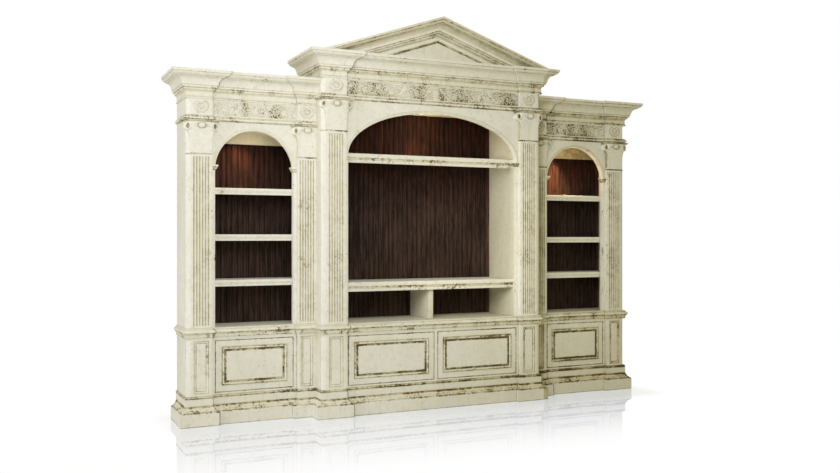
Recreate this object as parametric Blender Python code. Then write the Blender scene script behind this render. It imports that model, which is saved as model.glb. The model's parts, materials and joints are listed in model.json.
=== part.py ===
# Three-bay painted entertainment centre: two arched bookcases beside a taller, forward
# centre bay with a pediment. X runs along the width, the front faces -Y, the floor is z = 0,
# and the origin is under the middle of the whole. All sizes are in metres.

import math

import bmesh
import bpy
from mathutils import Matrix, Vector

# Clearances
GAP = 0.0003                 # left between two pieces that touch
OVERRUN = 0.005              # how far a cutter runs past what it cuts
SEAT = 0.002                 # how far a fused form runs into what carries it

# Plan
CENTRE_WIDTH = 1.840         # centre bay over its sides
SIDE_WIDTH = 0.930           # one side bay, from the centre bay's side to its own outer side
SIDE_DEPTH = 0.315           # side bay from its face to its back
CENTRE_STEP = 0.127          # centre bay's face ahead of the side bays' faces
RELIEF = 0.028               # pilasters, pedestals and blocks ahead of a bay's face
CHAMFER = 0.025              # flat on the outer corner of each bay
FRAME_THICK = 0.040          # face frames and arch boards
SIDE_THICK = 0.020           # side panels and the two cheeks of a pier
BACK_THICK = 0.014           # beaded backboards

OUTER_PILASTER = 0.1794      # width of the pilaster at a side bay's outer corner
INNER_PILASTER = 0.140       # width of the pilaster that dies into the centre bay
CENTRE_PILASTER = 0.190      # width of a centre bay's pilaster
SIDE_MARGIN = 0.024          # plain strip between a side bay's pilaster and its opening
CENTRE_MARGIN = 0.020        # the same strip in the centre bay

# Heights
PLATFORM_HEIGHT = 0.202      # plinth and base mouldings
BASE_HEIGHT = 0.394          # cupboard fronts with their pedestals
WAIST_HEIGHT = 0.071         # waist moulding and ledge
UPPER_HEIGHT = 1.431         # side bay from its ledge to its architrave
CENTRE_RAISE = 0.192         # how much taller the centre bay is
ARCHITRAVE_HEIGHT = 0.037
FRIEZE_HEIGHT = 0.110
CORNICE_HEIGHT = 0.187
PEDIMENT_RISE = 0.317        # from the centre cornice to the apex
RAKE_RUN = 0.930             # from the apex to the foot of the raking cornice, along X
RAKE_HEIGHT = 0.178          # raking cornice, measured upright

# How far each moulding stands out of the plane that it runs along
PLINTH_REACH = 0.0435
WAIST_REACH = 0.0225
ARCHITRAVE_REACH = 0.0157
CORNICE_REACH = 0.111

RAIL_THICK = 0.030           # platform rails behind the plinth's face
CROWN_THICK = 0.022          # entablature boards behind their face
CROWN_LID = 0.018            # dust board closing an entablature from above
FLOOR_THICK = 0.020          # cupboard floors
LEDGE_THICK = 0.022          # board behind the waist moulding
HOUSING = 0.006              # how deep the waist moulding is let into a side
CEILING_THICK = 0.018
TYMPANUM_THICK = 0.030       # board behind the raking cornice
PIER_FRONT = 0.022           # web between the two cheeks of a pier

# Moulding outlines from bottom to top: share of the reach, share of the height
PLINTH_SHARES = (
    (1.00, 0.000), (1.00, 0.432), (0.96, 0.448), (0.88, 0.456), (0.76, 0.462), (0.74, 0.478),
    (0.66, 0.500), (0.52, 0.516), (0.42, 0.540), (0.36, 0.570), (0.32, 0.600), (0.24, 0.618),
    (0.20, 0.622), (0.20, 0.650), (0.14, 0.655), (0.14, 0.910), (0.05, 0.918), (0.05, 0.928),
    (0.15, 0.934), (0.20, 0.950), (0.15, 0.968), (0.05, 0.976), (0.00, 0.980), (0.00, 1.000))
WAIST_SHARES = (
    (0.25, 0.00), (0.25, 0.10), (0.30, 0.12), (0.34, 0.24), (0.44, 0.35), (0.60, 0.44),
    (0.78, 0.49), (0.80, 0.53), (0.93, 0.55), (1.00, 0.62), (1.00, 0.70), (0.93, 0.77),
    (0.66, 0.81), (0.46, 0.85), (0.34, 0.91), (0.28, 1.00))
ARCHITRAVE_SHARES = (
    (0.30, 0.00), (0.30, 0.18), (0.92, 0.24), (1.00, 0.34), (1.00, 0.58), (0.60, 0.64),
    (0.55, 0.80), (0.25, 0.84), (0.22, 1.00))
CORNICE_SHARES = (
    (0.07, 0.000), (0.09, 0.015), (0.09, 0.050), (0.03, 0.070), (0.03, 0.250), (0.06, 0.285),
    (0.12, 0.305), (0.19, 0.320), (0.19, 0.385), (0.29, 0.400), (0.29, 0.470), (0.345, 0.485),
    (0.36, 0.540), (0.385, 0.600), (0.43, 0.660), (0.50, 0.712), (0.59, 0.748), (0.72, 0.765),
    (0.73, 0.785), (0.80, 0.800), (0.88, 0.825), (0.93, 0.860), (0.94, 0.890), (1.00, 0.900),
    (1.00, 1.000))

# Cupboard fronts
DOOR_THICK = 0.020
DOOR_GAP = 0.003             # round each door
BOTTOM_RAIL = 0.0135         # face frame under a door
TOP_RAIL = 0.0195            # face frame over a door
CENTRE_STILE = 0.029         # between the two centre doors
DOOR_RING = 0.046            # plain border of a door, outside its raised moulding
DOOR_RAISE = 0.007           # height of that moulding
DOOR_SINK = 0.006            # depth of the channel inside it
DOOR_RING_WIDTH = 0.034      # moulding and channel together
DOOR_RING_SHARES = (         # share of the ring's width, then share of raise (+) or sink (-)
    (0.00, 0.0), (0.06, 0.70), (0.16, 1.0), (0.34, 0.80), (0.42, 0.25), (0.50, -1.0),
    (0.80, -1.0), (0.90, -0.45), (1.00, -0.25))
PANEL_SIDE_SHARE = 0.18      # border beside a pedestal's sunk panel, share of the pedestal
PANEL_BOTTOM = 0.017         # border under it, above the base mouldings
PANEL_TOP = 0.017            # border over it
PANEL_DEPTH = 0.007
PANEL_SLOPE = 0.016          # width of its moulded edge
PANEL_SHARES = ((0.0, 0.0), (0.12, 0.30), (0.42, 0.42), (0.62, 0.95), (1.0, 1.0))

# Door pivots and push latches
PIVOT_RADIUS = 0.003
PIVOT_INSET = 0.006          # rod's axis behind the door's face and in from its edge
PIVOT_ENGAGE = 0.008         # how far the rod enters each rail
PIVOT_SIDES = 12
LATCH_LENGTH = 0.016         # case, along its plunger
LATCH_WIDTH = 0.030
LATCH_DROP = 0.016           # how far the case hangs below the rail
LATCH_INSET = 0.070          # plunger's axis in from the door's free edge
PLUNGER_RADIUS = 0.0035
PLUNGER_HEAD = 0.0060        # radius of its head
PLUNGER_CAP = 0.0020         # thickness of the head
PLUNGER_TRAVEL = 0.003
PLUNGER_SIDES = 12

# Arches
SIDE_ARCH_DROP = 0.335       # from the architrave down to where a side arch starts
SIDE_ARCH_RISE = 0.280
CENTRE_ARCH_DROP = 0.399
CENTRE_ARCH_RISE = 0.339
ARCH_STEPS = 24
ARCHIVOLT_QUIRK = 0.003      # step between the opening and the band round it
ARCHIVOLT_WIDTH = 0.024
ARCHIVOLT_RAISE = 0.004
IMPOST_HEIGHT = 0.039
IMPOST_REACH = 0.018
SIDE_IMPOST_DROP = 0.005     # from where the arch starts down to its impost's foot
CENTRE_IMPOST_DROP = 0.040
IMPOST_SHARES = (
    (0.15, 0.00), (0.15, 0.14), (0.40, 0.20), (0.50, 0.34), (0.72, 0.46), (0.72, 0.58),
    (1.00, 0.66), (1.00, 1.00))

# Pilasters and capitals
FLUTES = 6
FLUTE_RADIUS = 0.0062
FLUTE_PITCH = 0.0198
FLUTE_SIDES = 8
FLUTE_END_ANGLES = (25, 58)  # steps of a flute's round end, in degrees
FLUTE_START = 0.015          # plain foot under the flutes
FLUTE_TOP_MARGIN = 0.019     # plain strip between the flutes and the necking
CAPITAL_HEIGHT = 0.228       # from the necking to the architrave
NECK_HEIGHT = 0.009
NECK_REACH = 0.004
NECK_SHARES = ((0.0, 0.0), (0.70, 0.12), (1.0, 0.40), (1.0, 0.60), (0.70, 0.88), (0.0, 1.0))
CAPITAL_FLARE = 0.046        # scrolls beyond the shaft's edge
SCROLL_RADIUS = 0.029
SCROLL_SIDES = 16
SCROLL_PROUD = 0.005         # scrolls ahead of the bell
SCROLL_EYE = 0.010           # radius of the boss in a scroll
EYE_SIDES = 8
BELL_REACH = 0.024           # bell's lip ahead of the shaft
BELL_SIDE_SHARES = (         # share of the flare, then share of the bell's height
    (0.02, 0.00), (0.02, 0.46), (0.07, 0.56), (0.20, 0.66), (0.45, 0.76), (0.80, 0.86))
BELL_FRONT_SHARES = (        # share of the bell's reach, then share of its height
    (0.10, 0.00), (0.16, 0.30), (0.26, 0.52), (0.46, 0.70), (0.80, 0.84), (1.00, 0.93),
    (1.00, 1.00))
ABACUS_HEIGHT = 0.013
ABACUS_PROUD = 0.003
EGG_WIDTH = 0.046
EGG_HEIGHT = 0.026
EGG_REACH = 0.010
EGG_STEPS = 10

# Shelves
SHELF_THICK = 0.022
SHELF_NOSE = 0.045           # height of a side shelf's front edge
LEFT_SHELF_SHARES = (0.2278, 0.4521, 0.6806)     # tops, as shares of the upper height
RIGHT_SHELF_SHARES = (0.2306, 0.4382, 0.6827)
SHELF_SETBACK = 0.001        # shelf behind the face frame
DECK_HEIGHT = 0.295          # television deck over the ledge
DECK_NOSE = 0.068
ARCH_SHELF_RISE = 0.019      # shelf over the place where the centre arch starts
NOSE_DEPTH = 0.022           # front to back of a moulded shelf edge
NOSE_SHARES = (              # share of its depth behind the front, then share of its height
    (0.42, 0.00), (0.36, 0.10), (0.36, 0.34), (0.22, 0.42), (0.22, 0.50), (0.06, 0.56),
    (0.00, 0.66), (0.00, 0.82), (0.08, 0.94), (0.22, 1.00))
SHELF_END_GAP = 0.001
DIVIDER_THICK = 0.038
DIVIDER_SETBACK = 0.087      # behind the centre bay's face
PEG_RADIUS = 0.003
PEG_LENGTH = 0.009
PEG_SIDES = 8
PEG_INSET = 0.045            # pegs in from a shelf's front and back edges
HEADER_DROP = 0.103          # cream header over a side bay's backboard
HEADER_THICK = 0.012

# Backboards
BEAD_PITCH = 0.042
BEAD_GROOVE = 0.007
BEAD_DEPTH = 0.004
BEAD_BACKING = 0.0005        # how far a backboard's face stays behind what is in front of it

# Puck lights
LIGHT_RADIUS = 0.034
LIGHT_HEIGHT = 0.014
LIGHT_RECESS = 0.004
LIGHT_RIM = 0.007
LIGHT_SIDES = 20
LIGHT_BACK_SHARE = 0.55      # place between face frame and backboard
LIGHT_SHARES = (             # share of the radius, then share of the height below the ceiling
    (1.00, 0.00), (1.00, 0.62), (0.97, 0.86), (0.90, 1.00))

# Places that follow from the sizes above
CENTRE_HALF = CENTRE_WIDTH / 2
BODY_HALF = CENTRE_HALF + SIDE_WIDTH
TOTAL_DEPTH = SIDE_DEPTH + CENTRE_STEP + RELIEF + CORNICE_REACH
BACK_Y = TOTAL_DEPTH / 2
SIDE_FACE = BACK_Y - SIDE_DEPTH
CENTRE_FACE = SIDE_FACE - CENTRE_STEP
BACK_FACE = BACK_Y - BACK_THICK
WAIST_BASE = PLATFORM_HEIGHT + BASE_HEIGHT
WAIST_TOP = WAIST_BASE + WAIST_HEIGHT
SIDE_TOP = WAIST_TOP + UPPER_HEIGHT
CENTRE_TOP = SIDE_TOP + CENTRE_RAISE
CROWN_HEIGHT = ARCHITRAVE_HEIGHT + FRIEZE_HEIGHT + CORNICE_HEIGHT
SIDE_IN = CENTRE_HALF + INNER_PILASTER + SIDE_MARGIN      # side opening, inner edge
SIDE_OUT = BODY_HALF - OUTER_PILASTER - SIDE_MARGIN       # side opening, outer edge
CENTRE_OUT = CENTRE_HALF - CENTRE_PILASTER - CENTRE_MARGIN
INNER_WALL = BODY_HALF - SIDE_THICK
SIDE_SPRING = SIDE_TOP - SIDE_ARCH_DROP
CENTRE_SPRING = CENTRE_TOP - CENTRE_ARCH_DROP
DECK_TOP = WAIST_TOP + DECK_HEIGHT
ARCH_SHELF_TOP = CENTRE_SPRING + ARCH_SHELF_RISE
DOOR_LOW = PLATFORM_HEIGHT + BOTTOM_RAIL
DOOR_HIGH = WAIST_BASE - TOP_RAIL

LEFT, RIGHT = -1, 1
SIDE_NAMES = {LEFT: "left", RIGHT: "right"}


# Helpers that turn outlines into closed meshes

def clear_scene():
    for item in list(bpy.data.objects):
        bpy.data.objects.remove(item, do_unlink=True)


def add_solid(points, faces):
    """A closed mesh object with its faces turned outwards."""
    mesh = bpy.data.meshes.new("solid")
    mesh.from_pydata([tuple(point) for point in points], [], faces)
    shape = bmesh.new()
    shape.from_mesh(mesh)
    bmesh.ops.recalc_face_normals(shape, faces=shape.faces)
    shape.to_mesh(mesh)
    shape.free()
    item = bpy.data.objects.new("solid", mesh)
    bpy.context.scene.collection.objects.link(item)
    return item


def prism(outline, axis, low, high):
    """An outline extruded along X, Y or Z; its two numbers are the other axes in order."""
    def place(pair, level):
        if axis == "X":
            return (level, pair[0], pair[1])
        if axis == "Y":
            return (pair[0], level, pair[1])
        return (pair[0], pair[1], level)

    count = len(outline)
    points = [place(pair, low) for pair in outline] + [place(pair, high) for pair in outline]
    faces = [tuple(range(count)), tuple(range(count, 2 * count))]
    for index in range(count):
        after = (index + 1) % count
        faces.append((index, after, after + count, index + count))
    return add_solid(points, faces)


def box(x_low, x_high, y_low, y_high, z_low, z_high):
    outline = [(x_low, y_low), (x_high, y_low), (x_high, y_high), (x_low, y_high)]
    return prism(outline, "Z", z_low, z_high)


def join_rings(rings):
    """Rings of equal length, one after another, with a face across each end."""
    count = len(rings[0])
    points = [point for ring in rings for point in ring]
    faces = [tuple(range(count)), tuple(range(len(points) - count, len(points)))]
    for level in range(len(rings) - 1):
        for index in range(count):
            after = (index + 1) % count
            low, high = level * count, (level + 1) * count
            faces.append((low + index, low + after, high + after, high + index))
    return add_solid(points, faces)


def turned(profile, centre, axis, sides):
    """Radius and distance pairs turned about an axis through centre."""
    rings = []
    for radius, along in profile:
        ring = []
        for index in range(sides):
            angle = 2 * math.pi * (index + 0.5) / sides
            across, up = radius * math.cos(angle), radius * math.sin(angle)
            if axis == "Z":
                offset = Vector((across, up, along))
            elif axis == "Y":
                offset = Vector((across, along, up))
            else:
                offset = Vector((along, across, up))
            ring.append(Vector(centre) + offset)
        rings.append(ring)
    return join_rings(rings)


def left_normal(start, end):
    """Unit normal to the left of a step in plan."""
    step = (Vector(end) - Vector(start)).normalized()
    return Vector((-step.y, step.x))


def sweep(path, profile):
    """A closed profile of (offset, height) carried along a plan path with mitred corners.

    Offsets run to the left of the path.
    """
    normals = [left_normal(path[i], path[i + 1]) for i in range(len(path) - 1)]
    rings = []
    for index, place in enumerate(path):
        before = normals[index - 1] if index > 0 else normals[0]
        after = normals[index] if index < len(normals) else normals[-1]
        mitre = (before + after) / (1 + before.dot(after))
        ring = []
        for offset, height in profile:
            plan = Vector(place) + mitre * offset
            ring.append((plan.x, plan.y, height))
        rings.append(ring)
    return join_rings(rings)


def side_trim(x, y, reach, low, high):
    """Cutter that ends a side bay at the centre bay and mitres its moulding in the corner."""
    far = reach + OVERRUN
    plan = [(x, BACK_Y + OVERRUN), (x, y), (x + far, y - far), (x - far, y - far),
            (x - far, BACK_Y + OVERRUN)]
    return prism(plan, "Z", low - OVERRUN, high + OVERRUN)


def centre_trims(y, reach, low, high):
    """Cutters that mitre the centre bay's moulding into both corners."""
    far = reach + OVERRUN
    plan = [(CENTRE_HALF, y), (CENTRE_HALF + far, y - far), (CENTRE_HALF + far, y + OVERRUN),
            (CENTRE_HALF, y + OVERRUN)]
    right = prism(plan, "Z", low - OVERRUN, high + OVERRUN)
    left = prism([(-across, back) for across, back in plan], "Z", low - OVERRUN,
                 high + OVERRUN)
    return right, left


def moulding(shares, reach, base, height, inner):
    """A moulding's outline closed by an upright line at the offset inner."""
    outline = [(reach * out, base + height * up) for out, up in shares]
    return outline + [(inner, base + height), (inner, base)]


def combine(target, tools, operation):
    for tool in tools:
        modifier = target.modifiers.new("combine", "BOOLEAN")
        modifier.operation = operation
        modifier.solver = "EXACT"
        modifier.object = tool
        graph = bpy.context.evaluated_depsgraph_get()
        result = bpy.data.meshes.new_from_object(target.evaluated_get(graph))
        target.modifiers.clear()
        old = target.data
        target.data = result
        bpy.data.meshes.remove(old)
        bpy.data.objects.remove(tool, do_unlink=True)
    return target


def fuse(target, *tools):
    return combine(target, tools, "UNION")


def cut(target, *tools):
    return combine(target, tools, "DIFFERENCE")


def keep_common(target, *tools):
    return combine(target, tools, "INTERSECT")


def mirror(item):
    """Turn a right-hand piece into its left-hand twin."""
    item.data.transform(Matrix.Scale(-1, 4, Vector((1, 0, 0))))
    item.data.flip_normals()
    return item


def finish(item, name, material, side=RIGHT, origin=None, round_angle=None):
    """Name a piece, mirror it where it is a left-hand one, and put its origin on its axis."""
    if side == LEFT:
        mirror(item)
    if origin is not None:
        place = Vector((origin[0] * side, origin[1], origin[2]))
        item.data.transform(Matrix.Translation(-place))
        item.location = place
    if round_angle is not None:
        item.data.shade_smooth()
        item.data.set_sharp_from_angle(angle=math.radians(round_angle))
    item.name = name
    item.data.name = name
    item.data.materials.clear()
    item.data.materials.append(material)
    return item


def make_material(name, colour, roughness, metallic=0.0):
    material = bpy.data.materials.new(name)
    material.use_nodes = True
    shader = material.node_tree.nodes["Principled BSDF"]
    shader.inputs["Base Color"].default_value = (*colour, 1.0)
    shader.inputs["Roughness"].default_value = roughness
    shader.inputs["Metallic"].default_value = metallic
    return material


# Plan paths that the mouldings follow, for the right-hand half

def side_path(inner_x):
    """Round a side bay from its back, with a break forward over each pilaster."""
    front = SIDE_FACE - RELIEF
    outer_edge = BODY_HALF - OUTER_PILASTER
    inner_edge = CENTRE_HALF + INNER_PILASTER
    return [(BODY_HALF, BACK_Y), (BODY_HALF, front), (outer_edge, front),
            (outer_edge, SIDE_FACE), (inner_edge, SIDE_FACE), (inner_edge, front),
            (inner_x, front)]


def centre_path(start_y):
    """Round the centre bay from its right side to its left side."""
    front = CENTRE_FACE - RELIEF
    edge = CENTRE_HALF - CENTRE_PILASTER
    right = [(CENTRE_HALF, start_y), (CENTRE_HALF, front), (edge, front), (edge, CENTRE_FACE)]
    left = [(-x, y) for x, y in reversed(right)]
    return right + left


# The platform: plinth, base mouldings and cupboard floor in one glued frame

def side_platform():
    inner_x = CENTRE_HALF + GAP
    start = inner_x - SEAT
    profile = moulding(PLINTH_SHARES, PLINTH_REACH, 0, PLATFORM_HEIGHT, -RAIL_THICK)
    rail = sweep(side_path(start), profile)
    back_rail = box(start, BODY_HALF - SEAT, BACK_Y - RAIL_THICK, BACK_Y, 0, PLATFORM_HEIGHT)
    inner_rail = box(start, inner_x + RAIL_THICK, SIDE_FACE, BACK_Y - SEAT,
                     0, PLATFORM_HEIGHT)
    floor = box(start, BODY_HALF - SEAT, SIDE_FACE + SEAT, BACK_Y - SEAT,
                PLATFORM_HEIGHT - FLOOR_THICK, PLATFORM_HEIGHT)
    fuse(rail, back_rail, inner_rail, floor)
    return cut(rail, side_trim(inner_x, SIDE_FACE - RELIEF, PLINTH_REACH, 0,
                               PLATFORM_HEIGHT))


def centre_platform():
    profile = moulding(PLINTH_SHARES, PLINTH_REACH, 0, PLATFORM_HEIGHT, -RAIL_THICK)
    front_y = SIDE_FACE - RELIEF
    rail = sweep(centre_path(front_y), profile)
    parts = [box(-CENTRE_HALF, CENTRE_HALF, BACK_Y - RAIL_THICK, BACK_Y, 0, PLATFORM_HEIGHT)]
    for side in (LEFT, RIGHT):
        edges = sorted((side * CENTRE_HALF, side * (CENTRE_HALF - RAIL_THICK)))
        parts.append(box(*edges, front_y - SEAT, BACK_Y - SEAT, 0, PLATFORM_HEIGHT))
    parts.append(box(-CENTRE_HALF + SEAT, CENTRE_HALF - SEAT, CENTRE_FACE + SEAT,
                     BACK_Y - SEAT, PLATFORM_HEIGHT - FLOOR_THICK, PLATFORM_HEIGHT))
    fuse(rail, *parts)
    return cut(rail, *centre_trims(front_y, PLINTH_REACH, 0, PLATFORM_HEIGHT))


# Cupboard fronts: face frame, door openings and pedestals with sunk panels

def chamfered_plan(x_low, x_high, front, back):
    """A rectangle in plan with the flat on its outer front corner."""
    return [(x_low, back), (x_low, front), (x_high - CHAMFER, front),
            (x_high, front + CHAMFER), (x_high, back)]


def sunk_panel(x_low, x_high, z_low, z_high, face, depth, slope, shares):
    """Cutter for a panel sunk into a face, with a moulded edge."""
    start = (0.0, -OVERRUN)
    steps = [start] + [(slope * across, depth * down) for across, down in shares]
    rings = []
    for inset, sunk in steps:
        y = face + sunk
        rings.append([(x_low + inset, y, z_low + inset), (x_high - inset, y, z_low + inset),
                      (x_high - inset, y, z_high - inset), (x_low + inset, y, z_high - inset)])
    return join_rings(rings)


def pedestal_panel(x_low, x_high, flat_high, face):
    border = (flat_high - x_low) * PANEL_SIDE_SHARE
    return sunk_panel(x_low + border, flat_high - border, PLATFORM_HEIGHT + PANEL_BOTTOM,
                      WAIST_BASE - PANEL_TOP, face, PANEL_DEPTH, PANEL_SLOPE, PANEL_SHARES)


def pivot_place(edge, inward, face):
    """Plan position of a pivot rod by the opening's edge; inward points into the opening."""
    return (edge + inward * (DOOR_GAP + PIVOT_INSET), face + PIVOT_INSET)


def pivot_hole(edge, inward, face):
    """Cutter for the rod's sockets in the rails over and under a door."""
    place = pivot_place(edge, inward, face)
    reach = PIVOT_ENGAGE + GAP
    return turned([(PIVOT_RADIUS + GAP, DOOR_LOW - reach), (PIVOT_RADIUS + GAP,
                  DOOR_HIGH + reach)], (place[0], place[1], 0), "Z", PIVOT_SIDES)


def side_base_frame():
    low, high = PLATFORM_HEIGHT + GAP, WAIST_BASE - GAP
    inner_x = CENTRE_HALF + GAP
    front = SIDE_FACE - RELIEF
    board = box(inner_x, BODY_HALF, SIDE_FACE, SIDE_FACE + FRAME_THICK, low, high)
    outer_edge = BODY_HALF - OUTER_PILASTER
    inner_edge = CENTRE_HALF + INNER_PILASTER
    outer = prism(chamfered_plan(outer_edge, BODY_HALF, front, SIDE_FACE + SEAT),
                  "Z", low, high)
    inner = box(inner_x, inner_edge, front, SIDE_FACE + SEAT, low, high)
    fuse(board, outer, inner)
    opening = box(SIDE_IN, SIDE_OUT, SIDE_FACE - OVERRUN, SIDE_FACE + FRAME_THICK + OVERRUN,
                  DOOR_LOW, DOOR_HIGH)
    return cut(board, opening,
               pedestal_panel(outer_edge, BODY_HALF, BODY_HALF - CHAMFER, front),
               pedestal_panel(CENTRE_HALF, inner_edge, inner_edge, front),
               pivot_hole(SIDE_OUT, -1, SIDE_FACE))


def centre_base_frame():
    low, high = PLATFORM_HEIGHT + GAP, WAIST_BASE - GAP
    front = CENTRE_FACE - RELIEF
    back = CENTRE_FACE + FRAME_THICK
    board = box(-CENTRE_HALF, CENTRE_HALF, CENTRE_FACE, back, low, high)
    edge = CENTRE_HALF - CENTRE_PILASTER
    plan = chamfered_plan(edge, CENTRE_HALF, front, CENTRE_FACE + SEAT)
    twin = [(-x, y) for x, y in plan]
    fuse(board, prism(plan, "Z", low, high), prism(twin, "Z", low, high))
    cutters = []
    for side in (LEFT, RIGHT):
        opening = sorted((side * CENTRE_STILE / 2, side * CENTRE_OUT))
        cutters.append(box(*opening, CENTRE_FACE - OVERRUN, back + OVERRUN,
                           DOOR_LOW, DOOR_HIGH))
        panel = pedestal_panel(edge, CENTRE_HALF, CENTRE_HALF - CHAMFER, front)
        cutters.append(panel if side == RIGHT else mirror(panel))
        cutters.append(pivot_hole(side * CENTRE_OUT, -side, CENTRE_FACE))
    return cut(board, *cutters)


# Waist: ledge board, band over the face frame and the moulding round it

def side_waist():
    inner_x = CENTRE_HALF + GAP
    start = inner_x - SEAT
    front = SIDE_FACE - RELIEF
    profile = moulding(WAIST_SHARES, WAIST_REACH, WAIST_BASE, WAIST_HEIGHT, -HOUSING)
    rail = sweep(side_path(start), profile)
    back = SIDE_FACE + FRAME_THICK
    outer_edge = BODY_HALF - OUTER_PILASTER
    inner_edge = CENTRE_HALF + INNER_PILASTER
    band = prism([(start, back), (BODY_HALF, back), (BODY_HALF, front), (outer_edge, front),
                  (outer_edge, SIDE_FACE), (inner_edge, SIDE_FACE), (inner_edge, front),
                  (start, front)], "Z", WAIST_BASE, WAIST_TOP)
    ledge = box(start, INNER_WALL - GAP, back - LEDGE_THICK, BACK_FACE - GAP,
                WAIST_TOP - LEDGE_THICK, WAIST_TOP)
    fuse(band, ledge)
    fuse(rail, band)
    return cut(rail, side_trim(inner_x, front, WAIST_REACH, WAIST_BASE, WAIST_TOP))


def centre_waist():
    front = CENTRE_FACE - RELIEF
    back = CENTRE_FACE + FRAME_THICK
    edge = CENTRE_HALF - CENTRE_PILASTER
    profile = moulding(WAIST_SHARES, WAIST_REACH, WAIST_BASE, WAIST_HEIGHT, -HOUSING)
    rail = sweep(centre_path(SIDE_FACE - RELIEF), profile)
    right = [(CENTRE_HALF, back), (CENTRE_HALF, front), (edge, front), (edge, CENTRE_FACE)]
    band = prism(right + [(-x, y) for x, y in reversed(right)], "Z", WAIST_BASE, WAIST_TOP)
    inside = CENTRE_OUT - GAP
    ledge = box(-inside, inside, back - LEDGE_THICK, BACK_FACE - GAP,
                WAIST_TOP - LEDGE_THICK, WAIST_TOP)
    fuse(band, ledge)
    fuse(rail, band)
    return cut(rail, *centre_trims(SIDE_FACE - RELIEF, WAIST_REACH, WAIST_BASE, WAIST_TOP))


# Sides and piers, with the pegs that carry the shelves

def shelf_tops(side):
    shares = LEFT_SHELF_SHARES if side == LEFT else RIGHT_SHELF_SHARES
    return [WAIST_TOP + UPPER_HEIGHT * share for share in shares]


def peg_depths(front):
    return (front + PEG_INSET, BACK_FACE - PEG_INSET)


def pegs(wall, inward, tops, thick, front):
    """Round pegs standing out of a wall just under the shelves."""
    found = []
    for top in tops:
        for depth in peg_depths(front):
            height = top - thick - GAP - PEG_RADIUS
            ends = [(PEG_RADIUS, -inward * SEAT), (PEG_RADIUS, inward * PEG_LENGTH)]
            found.append(turned(ends, (wall, depth, height), "X", PEG_SIDES))
    return found


def side_panel(tops):
    front = SIDE_FACE + FRAME_THICK + GAP
    panel = box(INNER_WALL, BODY_HALF, front, BACK_Y, PLATFORM_HEIGHT + GAP, SIDE_TOP - GAP)
    housing = box(BODY_HALF - HOUSING - GAP, BODY_HALF + OVERRUN, front - OVERRUN,
                  BACK_Y + OVERRUN, WAIST_BASE - GAP, WAIST_TOP + GAP)
    cut(panel, housing)
    return fuse(panel, *pegs(INNER_WALL, -1, tops, SHELF_THICK, SIDE_FACE + FRAME_THICK))


def centre_pier(tops):
    """Two cheeks and a web: the side of the centre niche and the side bay's inner wall."""
    front = CENTRE_FACE + FRAME_THICK + GAP
    low, high = PLATFORM_HEIGHT + GAP, CENTRE_TOP - GAP
    cheek = SIDE_THICK
    plan = [(CENTRE_OUT, BACK_Y), (CENTRE_OUT, front), (CENTRE_HALF, front),
            (CENTRE_HALF, BACK_Y), (CENTRE_HALF - cheek, BACK_Y),
            (CENTRE_HALF - cheek, front + PIER_FRONT), (CENTRE_OUT + cheek,
            front + PIER_FRONT), (CENTRE_OUT + cheek, BACK_Y)]
    pier = prism(plan, "Z", low, high)
    housing = box(CENTRE_HALF - HOUSING - GAP, CENTRE_HALF + OVERRUN, front - OVERRUN,
                  SIDE_FACE - RELIEF + GAP, WAIST_BASE - GAP, WAIST_TOP + GAP)
    cut(pier, housing)
    outside = pegs(CENTRE_HALF, 1, tops, SHELF_THICK, SIDE_FACE + FRAME_THICK)
    inside = pegs(CENTRE_OUT, -1, (DECK_TOP, ARCH_SHELF_TOP), SHELF_THICK,
                  CENTRE_FACE + FRAME_THICK)
    return fuse(pier, *outside, *inside)


# Beaded backboards

def backboard(x_low, x_high, z_low, z_high):
    """A board whose face is cut by V grooves at an even pitch."""
    width = x_high - x_low
    count = max(2, round(width / BEAD_PITCH))
    pitch = width / count
    face = BACK_FACE + BEAD_BACKING
    plan = [(x_high, BACK_Y), (x_low, BACK_Y), (x_low, face)]
    for index in range(1, count):
        middle = x_low + index * pitch
        plan += [(middle - BEAD_GROOVE / 2, face), (middle, face + BEAD_DEPTH),
                 (middle + BEAD_GROOVE / 2, face)]
    plan.append((x_high, face))
    return prism(plan, "Z", z_low, z_high)


def side_backboard():
    return backboard(CENTRE_HALF + GAP, INNER_WALL - GAP, PLATFORM_HEIGHT + GAP,
                     SIDE_TOP - GAP)


def centre_backboard():
    inside = CENTRE_OUT - GAP
    return backboard(-inside, inside, PLATFORM_HEIGHT + GAP, CENTRE_TOP - GAP)


# Arch boards with their archivolts and imposts

def arc_points(centre, spring, half, rise, turn_back=False):
    """Points of a half ellipse from its right foot over the top to its left foot."""
    points = []
    for index in range(ARCH_STEPS + 1):
        angle = math.pi * index / ARCH_STEPS
        points.append((centre + half * math.cos(angle), spring + rise * math.sin(angle)))
    return list(reversed(points)) if turn_back else points


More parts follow.
